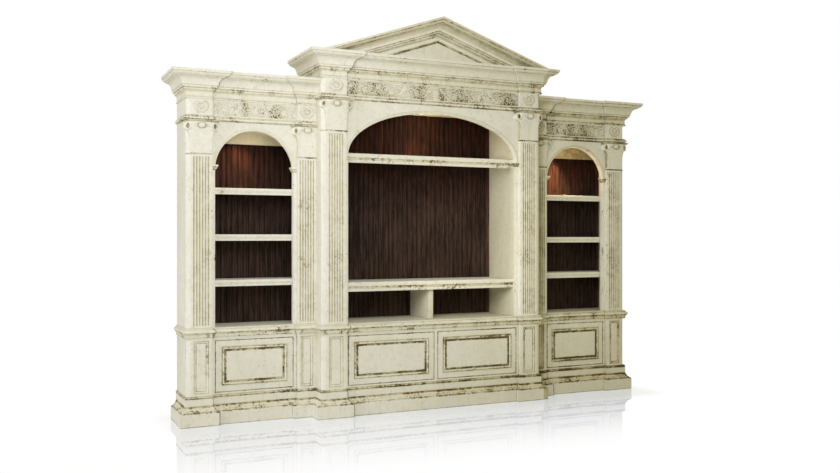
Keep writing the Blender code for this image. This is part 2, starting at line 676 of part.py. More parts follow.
def arch_board(x_low, x_high, open_low, open_high, spring, rise, top, face, impost_base,
               left_stop, right_stop):
    """A board with an arched opening, open at the foot; the stops are the pilasters' edges."""
    base = WAIST_TOP + GAP
    centre, half = (open_low + open_high) / 2, (open_high - open_low) / 2
    outline = [(x_high, base), (x_high, top - GAP), (x_low, top - GAP), (x_low, base),
               (open_low, base)]
    outline += arc_points(centre, spring, half, rise, turn_back=True)
    outline.append((open_high, base))
    board = prism(outline, "Y", face, face + FRAME_THICK)
    near, far = ARCHIVOLT_QUIRK, ARCHIVOLT_QUIRK + ARCHIVOLT_WIDTH
    ring = arc_points(centre, spring, half + near, rise + near)
    ring += arc_points(centre, spring, half + far, rise + far, turn_back=True)
    archivolt = prism(ring, "Y", face - ARCHIVOLT_RAISE, face + SEAT)
    keep_common(archivolt, box(left_stop, right_stop, face - OVERRUN, face + OVERRUN,
                               base, top))
    profile = moulding(IMPOST_SHARES, IMPOST_REACH, impost_base, IMPOST_HEIGHT, -SEAT)
    back = face + FRAME_THICK
    right = sweep([(right_stop, face), (open_high, face), (open_high, back)], profile)
    left = sweep([(open_low, back), (open_low, face), (left_stop, face)], profile)
    return fuse(board, archivolt, right, left)


def side_arch():
    return arch_board(CENTRE_HALF + GAP, BODY_HALF, SIDE_IN, SIDE_OUT, SIDE_SPRING,
                      SIDE_ARCH_RISE, SIDE_TOP, SIDE_FACE, SIDE_SPRING - SIDE_IMPOST_DROP,
                      CENTRE_HALF + INNER_PILASTER + GAP, BODY_HALF - OUTER_PILASTER - GAP)


def centre_arch():
    edge = CENTRE_HALF - CENTRE_PILASTER - GAP
    return arch_board(-CENTRE_HALF, CENTRE_HALF, -CENTRE_OUT, CENTRE_OUT, CENTRE_SPRING,
                      CENTRE_ARCH_RISE, CENTRE_TOP, CENTRE_FACE,
                      CENTRE_SPRING - CENTRE_IMPOST_DROP, -edge, edge)


# Pilasters: fluted shaft, necking and scrolled capital

def flute(x, face, low, high):
    """Cutter for one flute, with round ends."""
    radius = FLUTE_RADIUS
    profile = []
    for angle in FLUTE_END_ANGLES:
        turn = math.radians(angle)
        profile.append((radius * math.sin(turn), low + radius * (1 - math.cos(turn))))
    profile.append((radius, low + radius))
    upper = [(across, low + high - along) for across, along in reversed(profile)]
    return turned(profile + upper, (x, face, 0), "Z", FLUTE_SIDES)


def capital(x_low, x_high, face, wall, base, top):
    """Bell with side scrolls, an egg between them and an abacus over all."""
    centre, half = (x_low + x_high) / 2, (x_high - x_low) / 2
    bell_top = top - ABACUS_HEIGHT
    height = bell_top - base
    scroll_x = half + CAPITAL_FLARE - SCROLL_RADIUS
    scroll_z = bell_top - SCROLL_RADIUS
    right = [(half + CAPITAL_FLARE * out, base + height * up) for out, up in BELL_SIDE_SHARES]
    right.append((scroll_x, bell_top))
    outline = [(centre + x, z) for x, z in right]
    outline += [(centre - x, z) for x, z in reversed(right)]
    front = face - BELL_REACH - OVERRUN
    body = prism(outline, "Y", front, wall)
    lip = [(face - BELL_REACH * out, base + height * up) for out, up in BELL_FRONT_SHARES]
    slab = lip + [(wall + OVERRUN, bell_top), (wall + OVERRUN, base)]
    keep_common(body, prism(slab, "X", centre - half - CAPITAL_FLARE - OVERRUN,
                            centre + half + CAPITAL_FLARE + OVERRUN))
    scroll_front = face - BELL_REACH - SCROLL_PROUD
    parts = []
    for side in (LEFT, RIGHT):
        place = (centre + side * scroll_x, 0, scroll_z)
        rim = SCROLL_RADIUS - SCROLL_PROUD
        parts.append(turned([(rim, scroll_front), (SCROLL_RADIUS, scroll_front + SCROLL_PROUD),
                             (SCROLL_RADIUS, wall - SEAT)], place, "Y", SCROLL_SIDES))
        parts.append(turned([(SCROLL_EYE - SEAT, scroll_front - SEAT),
                             (SCROLL_EYE, scroll_front + SEAT)], place, "Y", EYE_SIDES))
    reach = centre + half + CAPITAL_FLARE
    parts.append(box(2 * centre - reach, reach, scroll_front - ABACUS_PROUD, wall,
                     bell_top - SEAT, top))
    parts.append(egg(centre, scroll_z, face - BELL_REACH))
    return fuse(body, *parts)


def egg(x, z, front):
    """Flattened oval boss on the bell's lip."""
    rings = []
    for size, out in ((1.0, -EGG_REACH), (1.0, 0.0), (0.86, EGG_REACH * 0.55),
                      (0.52, EGG_REACH * 0.9), (0.2, EGG_REACH)):
        ring = []
        for index in range(EGG_STEPS):
            angle = 2 * math.pi * (index + 0.5) / EGG_STEPS
            ring.append((x + EGG_WIDTH / 2 * size * math.cos(angle), front - out,
                         z + EGG_HEIGHT / 2 * size * math.sin(angle)))
        rings.append(ring)
    return join_rings(rings)


def pilaster(x_low, x_high, face, top, chamfered, clipped):
    """Fluted pilaster on the waist; a clipped one is cut off at x_low, where it meets a wall."""
    front, wall = face - RELIEF, face - GAP
    back = wall + SEAT
    start = x_low - OVERRUN if clipped else x_low
    flat_high = x_high - CHAMFER if chamfered else x_high
    if chamfered:
        plan = chamfered_plan(start, x_high, front, back)
    else:
        plan = [(start, back), (start, front), (x_high, front), (x_high, back)]
    base, high = WAIST_TOP + GAP, top - GAP
    neck = top - CAPITAL_HEIGHT
    shaft = prism(plan, "Z", base, high - ABACUS_HEIGHT / 2)
    middle = (x_low + flat_high) / 2
    first = middle - (FLUTES - 1) / 2 * FLUTE_PITCH
    flutes = [flute(first + index * FLUTE_PITCH, front, base + FLUTE_START,
                    neck - FLUTE_TOP_MARGIN) for index in range(FLUTES)]
    cut(shaft, *flutes)
    bead = moulding(NECK_SHARES, NECK_REACH, neck - NECK_HEIGHT, NECK_HEIGHT, -SEAT)
    outline = list(reversed(plan))
    necking = sweep(outline[:-1] if clipped else outline, bead)
    head = capital(x_low, flat_high, front, back, neck - SEAT, high)
    fuse(shaft, necking, head)
    far = CAPITAL_FLARE + OVERRUN
    limits = [box(x_low - far, x_high + far, wall, back + OVERRUN, base - OVERRUN,
                  high + OVERRUN)]
    if clipped:
        limits.append(box(x_low - far, x_low, front - far, back + far, base - OVERRUN,
                          high + OVERRUN))
    return cut(shaft, *limits)


def outer_pilaster():
    return pilaster(BODY_HALF - OUTER_PILASTER, BODY_HALF, SIDE_FACE, SIDE_TOP, True, False)


def inner_pilaster():
    return pilaster(CENTRE_HALF + GAP, CENTRE_HALF + INNER_PILASTER, SIDE_FACE, SIDE_TOP,
                    False, True)


def centre_pilaster():
    return pilaster(CENTRE_HALF - CENTRE_PILASTER, CENTRE_HALF, CENTRE_FACE, CENTRE_TOP,
                    True, False)


# Ceilings, with the header over a side bay's backboard

def side_ceiling():
    inner_x, outer_x = CENTRE_HALF + GAP, INNER_WALL - GAP
    top = SIDE_TOP - GAP
    front, back = SIDE_FACE + FRAME_THICK + GAP, BACK_FACE - GAP
    board = box(inner_x, outer_x, front, back, top - CEILING_THICK, top)
    header = box(inner_x, outer_x, back - HEADER_THICK, back,
                 top - CEILING_THICK - HEADER_DROP, top - CEILING_THICK + SEAT)
    return fuse(board, header)


def centre_ceiling():
    inside, top = CENTRE_OUT - GAP, CENTRE_TOP - GAP
    return box(-inside, inside, CENTRE_FACE + FRAME_THICK + GAP, BACK_FACE - GAP,
               top - CEILING_THICK, top)


# Entablatures: architrave, frieze and crown cornice, closed by a dust board

def crown_profile(base):
    frieze = base + ARCHITRAVE_HEIGHT
    crown = frieze + FRIEZE_HEIGHT
    outline = [(ARCHITRAVE_REACH * out, base + ARCHITRAVE_HEIGHT * up)
               for out, up in ARCHITRAVE_SHARES]
    outline += [(0, frieze), (0, crown)]
    outline += [(CORNICE_REACH * out, crown + CORNICE_HEIGHT * up)
                for out, up in CORNICE_SHARES]
    top = crown + CORNICE_HEIGHT
    return outline + [(-CROWN_THICK, top), (-CROWN_THICK, base)]


def frieze_chamfer(x, front, base):
    """Cutter for the flat on a frieze's outer corner, between its two mouldings."""
    low = base + ARCHITRAVE_HEIGHT
    plan = [(x - CHAMFER, front), (x, front + CHAMFER), (x + OVERRUN, front + CHAMFER),
            (x + OVERRUN, front - OVERRUN), (x - CHAMFER, front - OVERRUN)]
    return prism(plan, "Z", low, low + FRIEZE_HEIGHT)


def side_entablature():
    inner_x = CENTRE_HALF + GAP
    crown = sweep(side_path(inner_x), crown_profile(SIDE_TOP))
    top = SIDE_TOP + CROWN_HEIGHT
    lid = box(inner_x, BODY_HALF, SIDE_FACE, BACK_Y - SEAT, top - CROWN_LID, top)
    rear = box(inner_x, BODY_HALF - SEAT, BACK_Y - CROWN_THICK, BACK_Y, SIDE_TOP, top)
    fuse(crown, lid, rear)
    return cut(crown, frieze_chamfer(BODY_HALF, SIDE_FACE - RELIEF, SIDE_TOP))


def centre_entablature():
    profile = crown_profile(CENTRE_TOP)
    top = CENTRE_TOP + CROWN_HEIGHT
    crown_base = CENTRE_TOP + ARCHITRAVE_HEIGHT + FRIEZE_HEIGHT
    crown = sweep(centre_path(BACK_Y), profile)
    lid = box(-CENTRE_HALF, CENTRE_HALF, CENTRE_FACE, BACK_Y - SEAT, top - CROWN_LID, top)
    rear = box(-CENTRE_HALF + SEAT, CENTRE_HALF - SEAT, BACK_Y - CROWN_THICK, BACK_Y,
               CENTRE_TOP, top)
    fuse(crown, lid, rear)
    cutters = []
    stop = SIDE_FACE - RELIEF - CORNICE_REACH * CORNICE_SHARES[10][0] - GAP
    for side in (LEFT, RIGHT):
        chamfer = frieze_chamfer(CENTRE_HALF, CENTRE_FACE - RELIEF, CENTRE_TOP)
        cutters.append(chamfer if side == RIGHT else mirror(chamfer))
        edges = sorted((side * CENTRE_HALF, side * (CENTRE_HALF + ARCHITRAVE_REACH + OVERRUN)))
        cutters.append(box(*edges, stop, BACK_Y + OVERRUN, CENTRE_TOP - OVERRUN, crown_base))
    return cut(crown, *cutters)


# Pediment: raking cornice cut level at its feet, and the board behind it

def pediment():
    foot = CENTRE_TOP + CROWN_HEIGHT + GAP
    apex = foot + PEDIMENT_RISE
    slope = PEDIMENT_RISE / RAKE_RUN
    front = CENTRE_FACE - RELIEF
    outline = [(CORNICE_REACH * out, RAKE_HEIGHT * (up - 1)) for out, up in CORNICE_SHARES]
    outline += [(-TYMPANUM_THICK, 0), (-TYMPANUM_THICK, -RAKE_HEIGHT)]
    reach = RAKE_RUN + RAKE_HEIGHT / slope
    rings = []
    for x in (-reach, 0, reach):
        level = apex - slope * abs(x)
        rings.append([(x, front - out, level + up) for out, up in outline])
    rake = join_rings(rings)
    board_top = apex - RAKE_HEIGHT / 2
    run = (board_top - foot) / slope
    board = prism([(-run, foot), (run, foot), (0, board_top)], "Y", front,
                  front + TYMPANUM_THICK)
    fuse(rake, board)
    below = box(-reach - OVERRUN, reach + OVERRUN, front - CORNICE_REACH - OVERRUN,
                front + TYMPANUM_THICK + OVERRUN, foot - RAKE_HEIGHT * 2, foot)
    return cut(rake, below)


# Shelves, deck and divider

def shelf(x_low, x_high, front, top, nose):
    """A board with a deeper moulded front edge."""
    profile = [(front + NOSE_DEPTH * back, top - nose + nose * up) for back, up in NOSE_SHARES]
    back = BACK_FACE - GAP
    profile += [(back, top), (back, top - SHELF_THICK), (front + NOSE_DEPTH, top - SHELF_THICK),
                (front + NOSE_DEPTH, top - nose)]
    return prism(profile, "X", x_low, x_high)


def side_shelf(top):
    front = SIDE_FACE + FRAME_THICK + SHELF_SETBACK
    return shelf(CENTRE_HALF + SHELF_END_GAP, INNER_WALL - SHELF_END_GAP, front, top,
                 SHELF_NOSE)


def centre_shelf(top):
    inside = CENTRE_OUT - SHELF_END_GAP
    front = CENTRE_FACE + FRAME_THICK + SHELF_SETBACK
    return shelf(-inside, inside, front, top, DECK_NOSE)


def divider():
    front = CENTRE_FACE + DIVIDER_SETBACK
    half = DIVIDER_THICK / 2
    return box(-half, half, front, BACK_FACE - GAP, WAIST_TOP + GAP,
               DECK_TOP - SHELF_THICK - GAP)


# Doors, their pivot rods and their push latches

def door(x_low, x_high, face, pivot):
    """An inset door with a raised moulding round a sunk channel, bored for its rod."""
    low, high = DOOR_LOW + DOOR_GAP, DOOR_HIGH - DOOR_GAP
    steps = [(0, DOOR_THICK), (0, 0)]
    for across, up in DOOR_RING_SHARES:
        height = up * (DOOR_RAISE if up > 0 else DOOR_SINK)
        steps.append((DOOR_RING + DOOR_RING_WIDTH * across, -height))
    rings = []
    for inset, depth in steps:
        y = face + depth
        rings.append([(x_low + inset, y, low + inset), (x_high - inset, y, low + inset),
                      (x_high - inset, y, high - inset), (x_low + inset, y, high - inset)])
    leaf = join_rings(rings)
    bore = turned([(PIVOT_RADIUS + GAP, low - OVERRUN), (PIVOT_RADIUS + GAP, high + OVERRUN)],
                  (pivot[0], pivot[1], 0), "Z", PIVOT_SIDES)
    return cut(leaf, bore)


def pivot_rod(place):
    reach = PIVOT_ENGAGE
    return turned([(PIVOT_RADIUS, DOOR_LOW - reach), (PIVOT_RADIUS, DOOR_HIGH + reach)],
                  (place[0], place[1], 0), "Z", PIVOT_SIDES)


def latch_place(free_edge, outward, face):
    """Middle of a latch's plunger, at the back of a closed door by its free edge."""
    return (free_edge + outward * LATCH_INSET, face + DOOR_THICK + GAP,
            DOOR_HIGH - LATCH_DROP / 2)


def latch_case(place):
    """Case hung under the top rail, bored for its plunger."""
    x, y, z = place
    front = y + PLUNGER_CAP + PLUNGER_TRAVEL + GAP
    half = LATCH_WIDTH / 2
    case = box(x - half, x + half, front, front + LATCH_LENGTH, z - LATCH_DROP / 2,
               DOOR_HIGH - GAP)
    bore = turned([(PLUNGER_RADIUS + GAP, -OVERRUN), (PLUNGER_RADIUS + GAP,
                  LATCH_LENGTH + OVERRUN)], (x, front, z), "Y", PLUNGER_SIDES)
    return cut(case, bore)


def latch_plunger(place):
    stem = PLUNGER_CAP + PLUNGER_TRAVEL + LATCH_LENGTH - PLUNGER_TRAVEL
    profile = [(PLUNGER_HEAD, 0), (PLUNGER_HEAD, PLUNGER_CAP), (PLUNGER_RADIUS, PLUNGER_CAP),
               (PLUNGER_RADIUS, stem)]
    return turned(profile, place, "Y", PLUNGER_SIDES)


# Puck lights under the ceilings

def light_place(x, face, top):
    front = face + FRAME_THICK
    depth = front + (BACK_FACE - front) * LIGHT_BACK_SHARE
    return (x, depth, top - CEILING_THICK - 2 * GAP)


def puck_light(place):
    profile = [(LIGHT_RADIUS * out, -LIGHT_HEIGHT * down) for out, down in LIGHT_SHARES]
    rim = LIGHT_RADIUS - LIGHT_RIM
    profile += [(rim, -LIGHT_HEIGHT), (rim - LIGHT_RECESS / 2, -LIGHT_HEIGHT + LIGHT_RECESS)]
    return turned(profile, place, "Z", LIGHT_SIDES)


# The whole, bay by bay

def build_cupboard_door(side, name, inner, outer, face, paint, steel, plastic):
    """Door between two edges of an opening, hung by its outer one, with its hardware."""
    pivot = pivot_place(outer, -1, face)
    leaf = door(inner + DOOR_GAP, outer - DOOR_GAP, face, pivot)
    finish(leaf, f"{name}_door", paint, side, origin=(pivot[0], pivot[1], DOOR_LOW))
    finish(pivot_rod(pivot), f"{name}_door_pivot", steel, side, round_angle=40)
    place = latch_place(inner, 1, face)
    finish(latch_case(place), f"{name}_latch_case", plastic, side)
    finish(latch_plunger(place), f"{name}_latch_plunger", steel, side, origin=place,
           round_angle=40)


def build_side_bay(side, paint, stain, steel, plastic, metal):
    name = SIDE_NAMES[side]
    tops = shelf_tops(side)
    finish(side_platform(), f"{name}_plinth", paint, side)
    finish(side_base_frame(), f"{name}_base_frame", paint, side)
    finish(side_panel(tops), f"{name}_side", paint, side)
    finish(side_backboard(), f"{name}_backboard", stain, side)
    finish(side_waist(), f"{name}_waist", paint, side)
    finish(side_arch(), f"{name}_arch", paint, side)
    finish(outer_pilaster(), f"{name}_outer_pilaster", paint, side, round_angle=35)
    finish(inner_pilaster(), f"{name}_inner_pilaster", paint, side, round_angle=35)
    finish(side_ceiling(), f"{name}_ceiling", paint, side)
    finish(side_entablature(), f"{name}_entablature", paint, side)
    for place, top in zip(("lower", "middle", "upper"), tops):
        finish(side_shelf(top), f"{name}_{place}_shelf", paint, side)
    build_cupboard_door(side, name, SIDE_IN, SIDE_OUT, SIDE_FACE, paint, steel, plastic)
    lamp = puck_light(light_place((SIDE_IN + SIDE_OUT) / 2, SIDE_FACE, SIDE_TOP))
    finish(lamp, f"{name}_light", metal, side, round_angle=40)


def build_centre_bay(paint, stain, steel, plastic, metal):
    finish(centre_platform(), "centre_plinth", paint)
    finish(centre_base_frame(), "centre_base_frame", paint)
    finish(centre_waist(), "centre_waist", paint)
    finish(centre_backboard(), "centre_backboard", stain)
    finish(centre_arch(), "centre_arch", paint)
    finish(centre_ceiling(), "centre_ceiling", paint)
    finish(centre_entablature(), "centre_entablature", paint)
    finish(pediment(), "pediment", paint)
    finish(centre_shelf(ARCH_SHELF_TOP), "arch_shelf", paint)
    finish(centre_shelf(DECK_TOP), "deck", paint)
    finish(divider(), "deck_divider", paint)
    for side in (LEFT, RIGHT):
        name = f"centre_{SIDE_NAMES[side]}"
        finish(centre_pier(shelf_tops(side)), f"{name}_pier", paint, side)
        finish(centre_pilaster(), f"{name}_pilaster", paint, side, round_angle=35)
        build_cupboard_door(side, name, CENTRE_STILE / 2, CENTRE_OUT, CENTRE_FACE,
                            paint, steel, plastic)
    lamp = puck_light(light_place(0, CENTRE_FACE, CENTRE_TOP))
    finish(lamp, "centre_light", metal, round_angle=40)


def build():
    clear_scene()
    paint = make_material("cream_paint", (0.74, 0.70, 0.57), 0.45)
    stain = make_material("dark_stain", (0.045, 0.018, 0.012), 0.38)
    steel = make_material("steel", (0.55, 0.54, 0.52), 0.30, 1.0)
    plastic = make_material("latch_grey", (0.22, 0.21, 0.20), 0.50)
    metal = make_material("light_metal", (0.72, 0.71, 0.69), 0.35, 1.0)
    for side in (LEFT, RIGHT):
        build_side_bay(side, paint, stain, steel, plastic, metal)
    build_centre_bay(paint, stain, steel, plastic, metal)


build()
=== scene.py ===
# Painted three-bay entertainment centre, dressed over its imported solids.
# Lengths are metres; the front faces -Y and the floor is z = 0.
import json
import math

import bmesh
import bpy
import numpy as np
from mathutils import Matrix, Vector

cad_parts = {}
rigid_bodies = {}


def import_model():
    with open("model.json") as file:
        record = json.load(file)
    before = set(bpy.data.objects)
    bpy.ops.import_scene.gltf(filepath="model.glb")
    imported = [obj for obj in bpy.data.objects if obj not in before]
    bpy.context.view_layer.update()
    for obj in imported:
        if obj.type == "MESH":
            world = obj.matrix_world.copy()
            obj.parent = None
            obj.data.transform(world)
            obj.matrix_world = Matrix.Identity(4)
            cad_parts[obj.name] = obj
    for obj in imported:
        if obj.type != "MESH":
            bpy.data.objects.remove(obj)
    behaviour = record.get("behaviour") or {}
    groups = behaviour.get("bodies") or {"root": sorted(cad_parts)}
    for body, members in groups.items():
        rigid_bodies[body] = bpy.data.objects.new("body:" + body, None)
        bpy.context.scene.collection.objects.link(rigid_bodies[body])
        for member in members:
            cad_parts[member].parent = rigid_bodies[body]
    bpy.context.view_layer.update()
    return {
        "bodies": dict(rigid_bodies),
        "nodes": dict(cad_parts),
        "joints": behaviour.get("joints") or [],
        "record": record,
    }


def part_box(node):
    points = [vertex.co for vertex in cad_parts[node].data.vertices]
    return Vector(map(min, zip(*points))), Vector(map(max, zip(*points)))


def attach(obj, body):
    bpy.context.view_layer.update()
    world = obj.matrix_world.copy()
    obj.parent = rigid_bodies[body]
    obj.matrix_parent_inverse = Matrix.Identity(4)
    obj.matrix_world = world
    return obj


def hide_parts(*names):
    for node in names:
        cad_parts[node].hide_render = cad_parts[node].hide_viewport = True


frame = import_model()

nodes = frame["nodes"]
scene = bpy.context.scene


def boxOf(name):
    low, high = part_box(name)
    return np.array(low), np.array(high)


# Places shared by the pieces, read from the solids where they can be. The side bays are
# drawn on the right, and the left one is mirrored.
plan = {
    "relief": 0.028,                                 # pilasters ahead of a bay's face
    "chamfer": 0.025,                                # flat on a pilaster's outer corner
    "gap": 0.0003,                                   # between boards that touch
    "frameThick": 0.040, "wallThick": 0.020, "backThick": 0.014,
    "outerPilaster": 0.1794, "innerPilaster": 0.140, "centrePilaster": 0.190,
    "sideMargin": 0.024, "centreMargin": 0.020,      # from a pilaster to its opening
    "doorFoot": 0.0135, "doorHead": 0.0195,          # from a frame's ends to its doors
}
levels = {
    "platformTop": boxOf("right_plinth")[1][2],
    "waistBase": boxOf("right_waist")[0][2],
    "waistTop": boxOf("right_waist")[1][2],
    "sideTop": boxOf("right_entablature")[0][2],
    "centreTop": boxOf("centre_entablature")[0][2],
    "pedimentFoot": boxOf("pediment")[0][2],
    "pedimentApex": boxOf("pediment")[1][2],
}
sideNames = {-1: "left", 1: "right"}
bayNames = {-1: "left", 1: "right", 0: "centre"}
relief, chamfer, gap = plan["relief"], plan["chamfer"], plan["gap"]
frameThick = plan["frameThick"]
centreHalf, bodyHalf = boxOf("centre_arch")[1][0], boxOf("right_arch")[1][0]
sideFront, centreFront = boxOf("right_base_frame")[0][1], boxOf("centre_base_frame")[0][1]
sideFace, centreFace = sideFront + relief, centreFront + relief
backY = boxOf("right_backboard")[1][1]
backFace = backY - plan["backThick"]
innerX, wallX = centreHalf + gap, bodyHalf - plan["wallThick"]
outerEdge = bodyHalf - plan["outerPilaster"]         # where each pilaster meets its frame
innerEdge = centreHalf + plan["innerPilaster"]
centreEdge = centreHalf - plan["centrePilaster"]
openings = {
    "sideIn": innerEdge + plan["sideMargin"],
    "sideOut": outerEdge - plan["sideMargin"],
    "centreOut": centreEdge - plan["centreMargin"],
    "doorLow": levels["platformTop"] + plan["doorFoot"],
    "doorHigh": levels["waistBase"] - plan["doorHead"],
}


# Shader nodes

class Wire:
    # one output socket; sums of wires add Math nodes to the same tree
    def __init__(self, tree, socket=None):
        self.tree, self.socket = tree, socket

    def node(self, kind, settings=None, values=None, output=0):
        made = self.tree.nodes.new(kind)
        for key, value in (settings or {}).items():
            if key == "stops":
                stops = made.color_ramp.elements
                while len(stops) < len(value):
                    stops.new(0.5)
                for stop, (place, colour) in zip(stops, value):
                    stop.position, stop.color = place, colour
            else:
                setattr(made, key, value)
        for key, value in (values or {}).items():
            if isinstance(value, Wire):
                self.tree.links.new(value.socket, made.inputs[key])
            else:
                made.inputs[key].default_value = value
        return Wire(self.tree, made.outputs[output])

    def calc(self, operation, *values):
        return self.node("ShaderNodeMath", {"operation": operation}, dict(enumerate(values)))

    def __add__(self, other):
        return self.calc("ADD", self, other)

    def __sub__(self, other):
        return self.calc("SUBTRACT", self, other)

    def __rsub__(self, other):
        return self.calc("SUBTRACT", other, self)

    def __mul__(self, other):
        return self.calc("MULTIPLY", self, other)

    def __truediv__(self, other):
        return self.calc("DIVIDE", self, other)

    __radd__, __rmul__ = __add__, __mul__

    def most(self, other):
        return self.calc("MAXIMUM", self, other)

    def fade(self, low, high):
        # 0 below low and 1 above high, eased between
        return self.node("ShaderNodeMapRange", {"interpolation_type": "SMOOTHSTEP"},
                         {0: self, 1: low, 2: high, 3: 0.0, 4: 1.0})

    def blend(self, first, second, share):
        # one colour turned towards another by a share
        return self.node("ShaderNodeMix", {"data_type": "RGBA"},
                         {0: share, 6: first, 7: second}, 2)

    def blendTo(self, other, share):
        return self.blend(self, other, share)

    def stretched(self, scale):
        return self.node("ShaderNodeMapping", None, {"Vector": self, "Scale": scale})

    def noise(self, scale, detail=4.0, rough=0.55, distortion=0.0, output=0):
        return self.node("ShaderNodeTexNoise", None, {
            "Vector": self, "Scale": scale, "Detail": detail, "Roughness": rough,
            "Distortion": distortion}, output)

    def vector(self, operation, *values, output=0):
        return self.node("ShaderNodeVectorMath", {"operation": operation},
                         dict(enumerate((self, *values))), output)

    def part(self, axis):
        return self.node("ShaderNodeSeparateXYZ", None, {0: self}, axis)

    def carried(self, name):
        # a value that the mesh carries at each point
        return self.node("ShaderNodeAttribute", {"attribute_name": name}, output=2)

    def into(self, node, entry):
        self.tree.links.new(self.socket, node.inputs[entry])


def startFinish(name, specular=None):
    # a new material, its main shader, and each point's place in its object
    material = bpy.data.materials.new(name)
    material.use_nodes = True
    shader = material.node_tree.nodes["Principled BSDF"]
    if specular is not None:
        shader.inputs["Specular IOR Level"].default_value = specular
    return material, shader, Wire(material.node_tree).node("ShaderNodeTexCoord", output=3)


def surface(shader, colour, rough, height, strength, depth):
    # a colour, a roughness, and a height that tilts the light as over a depth in metres
    bump = height.node("ShaderNodeBump", None, {
        "Strength": strength, "Distance": depth, "Height": height})
    for entry, wire in (("Base Color", colour), ("Roughness", rough), ("Normal", bump)):
        wire.into(shader, entry)


def rgba(red, green, blue):
    return (red, green, blue, 1.0)


paintLook = {
    "base": rgba(0.812, 0.796, 0.742),
    "shade": rgba(0.690, 0.658, 0.545),
    "streak": rgba(0.540, 0.510, 0.370),
    "olive": rgba(0.580, 0.510, 0.265),
    "glaze": rgba(0.200, 0.162, 0.068),
    "rust": rgba(0.430, 0.335, 0.150),
    "worn": rgba(0.085, 0.056, 0.022),
    "roughness": 0.52, "specular": 0.06, "relief": 0.22, "depth": 0.0012,
    # scale, detail and roughness of each noise; the streaks are drawn out upwards
    "broad": (1.9, 3.0), "patch": (6.5, 4.0, 0.6), "clump": (30.0, 4.0, 0.6),
    "grit": (72.0, 3.0, 0.70), "streaks": (34.0, 5.0, 0.62), "upright": (1.0, 1.0, 0.07),
    "warp": (14.0, 4.0, 0.5), "warpReach": 0.045, "cells": 24.0, "dots": 55.0,
    # painted shade deepens with x, away from the lamps, and near the floor there; a painted
    # shadow with glaze fills the recess beside the centre bay
    "far": (-1.1, 1.8), "low": (0.25, 1.10), "recessUp": (1.0, 2.6), "recessLeft": 0.6,
    "recessNear": (-0.004, 0.012), "recessFar": (0.06, 0.16),
    "glazeLeast": 0.84, "glazeRightShade": 0.75, "glazeRecessShadow": 0.60,
    "shadeShares": {"broad": 0.40, "low": 0.36, "recess": 0.30},
    # dark lines in the hollows are broken up: what always stays, and what comes and goes
    "lineLeast": 0.24, "lineBreak": 0.45,
    # what adds up to a chip
    "score": {"grit": 0.85, "clump": 0.38, "patch": 0.80, "wear": 0.32, "wearFar": 0.10},
    "chips": (1.355, 1.390), "halo": (1.22, 1.39),
}


def paintFinish(name):
    # Cream paint, then wide shade, faint streaks and veins, a soft glaze with a broken dark
    # line in the hollows, and last tan halos round chips worn through to the brown.
    look = paintLook
    material, shader, place = startFinish(name, look["specular"])
    wear, glaze = place.carried("wear"), place.carried("glaze")
    across, up = place.part(0), place.part(2)
    # far, low and the recess mask are painted shade: darker paint, more glaze and more chips
    # towards the right and low down there, and a painted shadow with glaze beside the centre
    # bay
    far = across.fade(*look["far"])
    low = far * (1 - up.fade(*look["low"]))
    near, beyond = (across.fade(centreHalf + look[key][0], centreHalf + look[key][1])
                    for key in ("recessNear", "recessFar"))
    recess = near * (1 - beyond) * (1 - up.fade(*look["recessUp"]) * look["recessLeft"])
    glaze = (glaze * (look["glazeLeast"] + look["glazeRightShade"] * far)
             + look["glazeRecessShadow"] * recess)
    broad, patch, clump, grit = (place.noise(*look[key])
                                 for key in ("broad", "patch", "clump", "grit"))
    streak = place.stretched(look["upright"]).noise(*look["streaks"])
    warp = place.noise(*look["warp"], output=1).vector(
        "MULTIPLY_ADD", (look["warpReach"],) * 3, place)
    cell = warp.node("ShaderNodeTexVoronoi", {"feature": "DISTANCE_TO_EDGE"},
                     {"Vector": warp, "Scale": look["cells"]})
    dots = place.node("ShaderNodeTexVoronoi", None, {"Vector": place, "Scale": look["dots"]})
    vein = (1 - cell.fade(0.0, 0.05)) * patch.fade(0.48, 0.66)
    speck = (1 - dots.fade(0.12, 0.21)) * clump.fade(0.48, 0.58)
    broken = glaze.fade(0.22, 0.92) * (
        look["lineLeast"] + look["lineBreak"] * clump.fade(0.36, 0.62)
        + look["lineBreak"] * patch.fade(0.42, 0.60))
    parts = look["score"]
    score = (grit * parts["grit"] + clump * parts["clump"] + patch * parts["patch"]
             + wear * (parts["wear"] + far * parts["wearFar"]))
    chips = score.fade(*look["chips"])
    shares = look["shadeShares"]
    colour = place.blend(look["base"], look["shade"], broad.fade(0.38, 0.72)
                         * shares["broad"] + shares["low"] * low + shares["recess"] * recess)
    # each layer's colour, where it lies and how much it covers there
    for tint, mask, share in (
            ("shade", clump.fade(0.40, 0.70), 0.42), ("streak", streak.fade(0.54, 0.74), 0.26),
            ("glaze", recess, 0.30), ("glaze", vein, 0.13), ("glaze", speck, 0.50),
            ("olive", glaze.fade(0.0, 0.50), 0.50), ("glaze", broken, 0.86),
            ("rust", score.fade(*look["halo"]), 0.60), ("worn", chips, 0.90)):
        colour = colour.blendTo(look[tint], mask * share)
    rough = look["roughness"] + 0.16 * grit + 0.12 * chips - 0.06 * glaze
    height = clump * 0.4 + grit * 0.35 + streak * 0.3 - vein * 0.6 - chips * 0.8
    surface(shader, colour, rough, height, look["relief"], look["depth"])
    return material


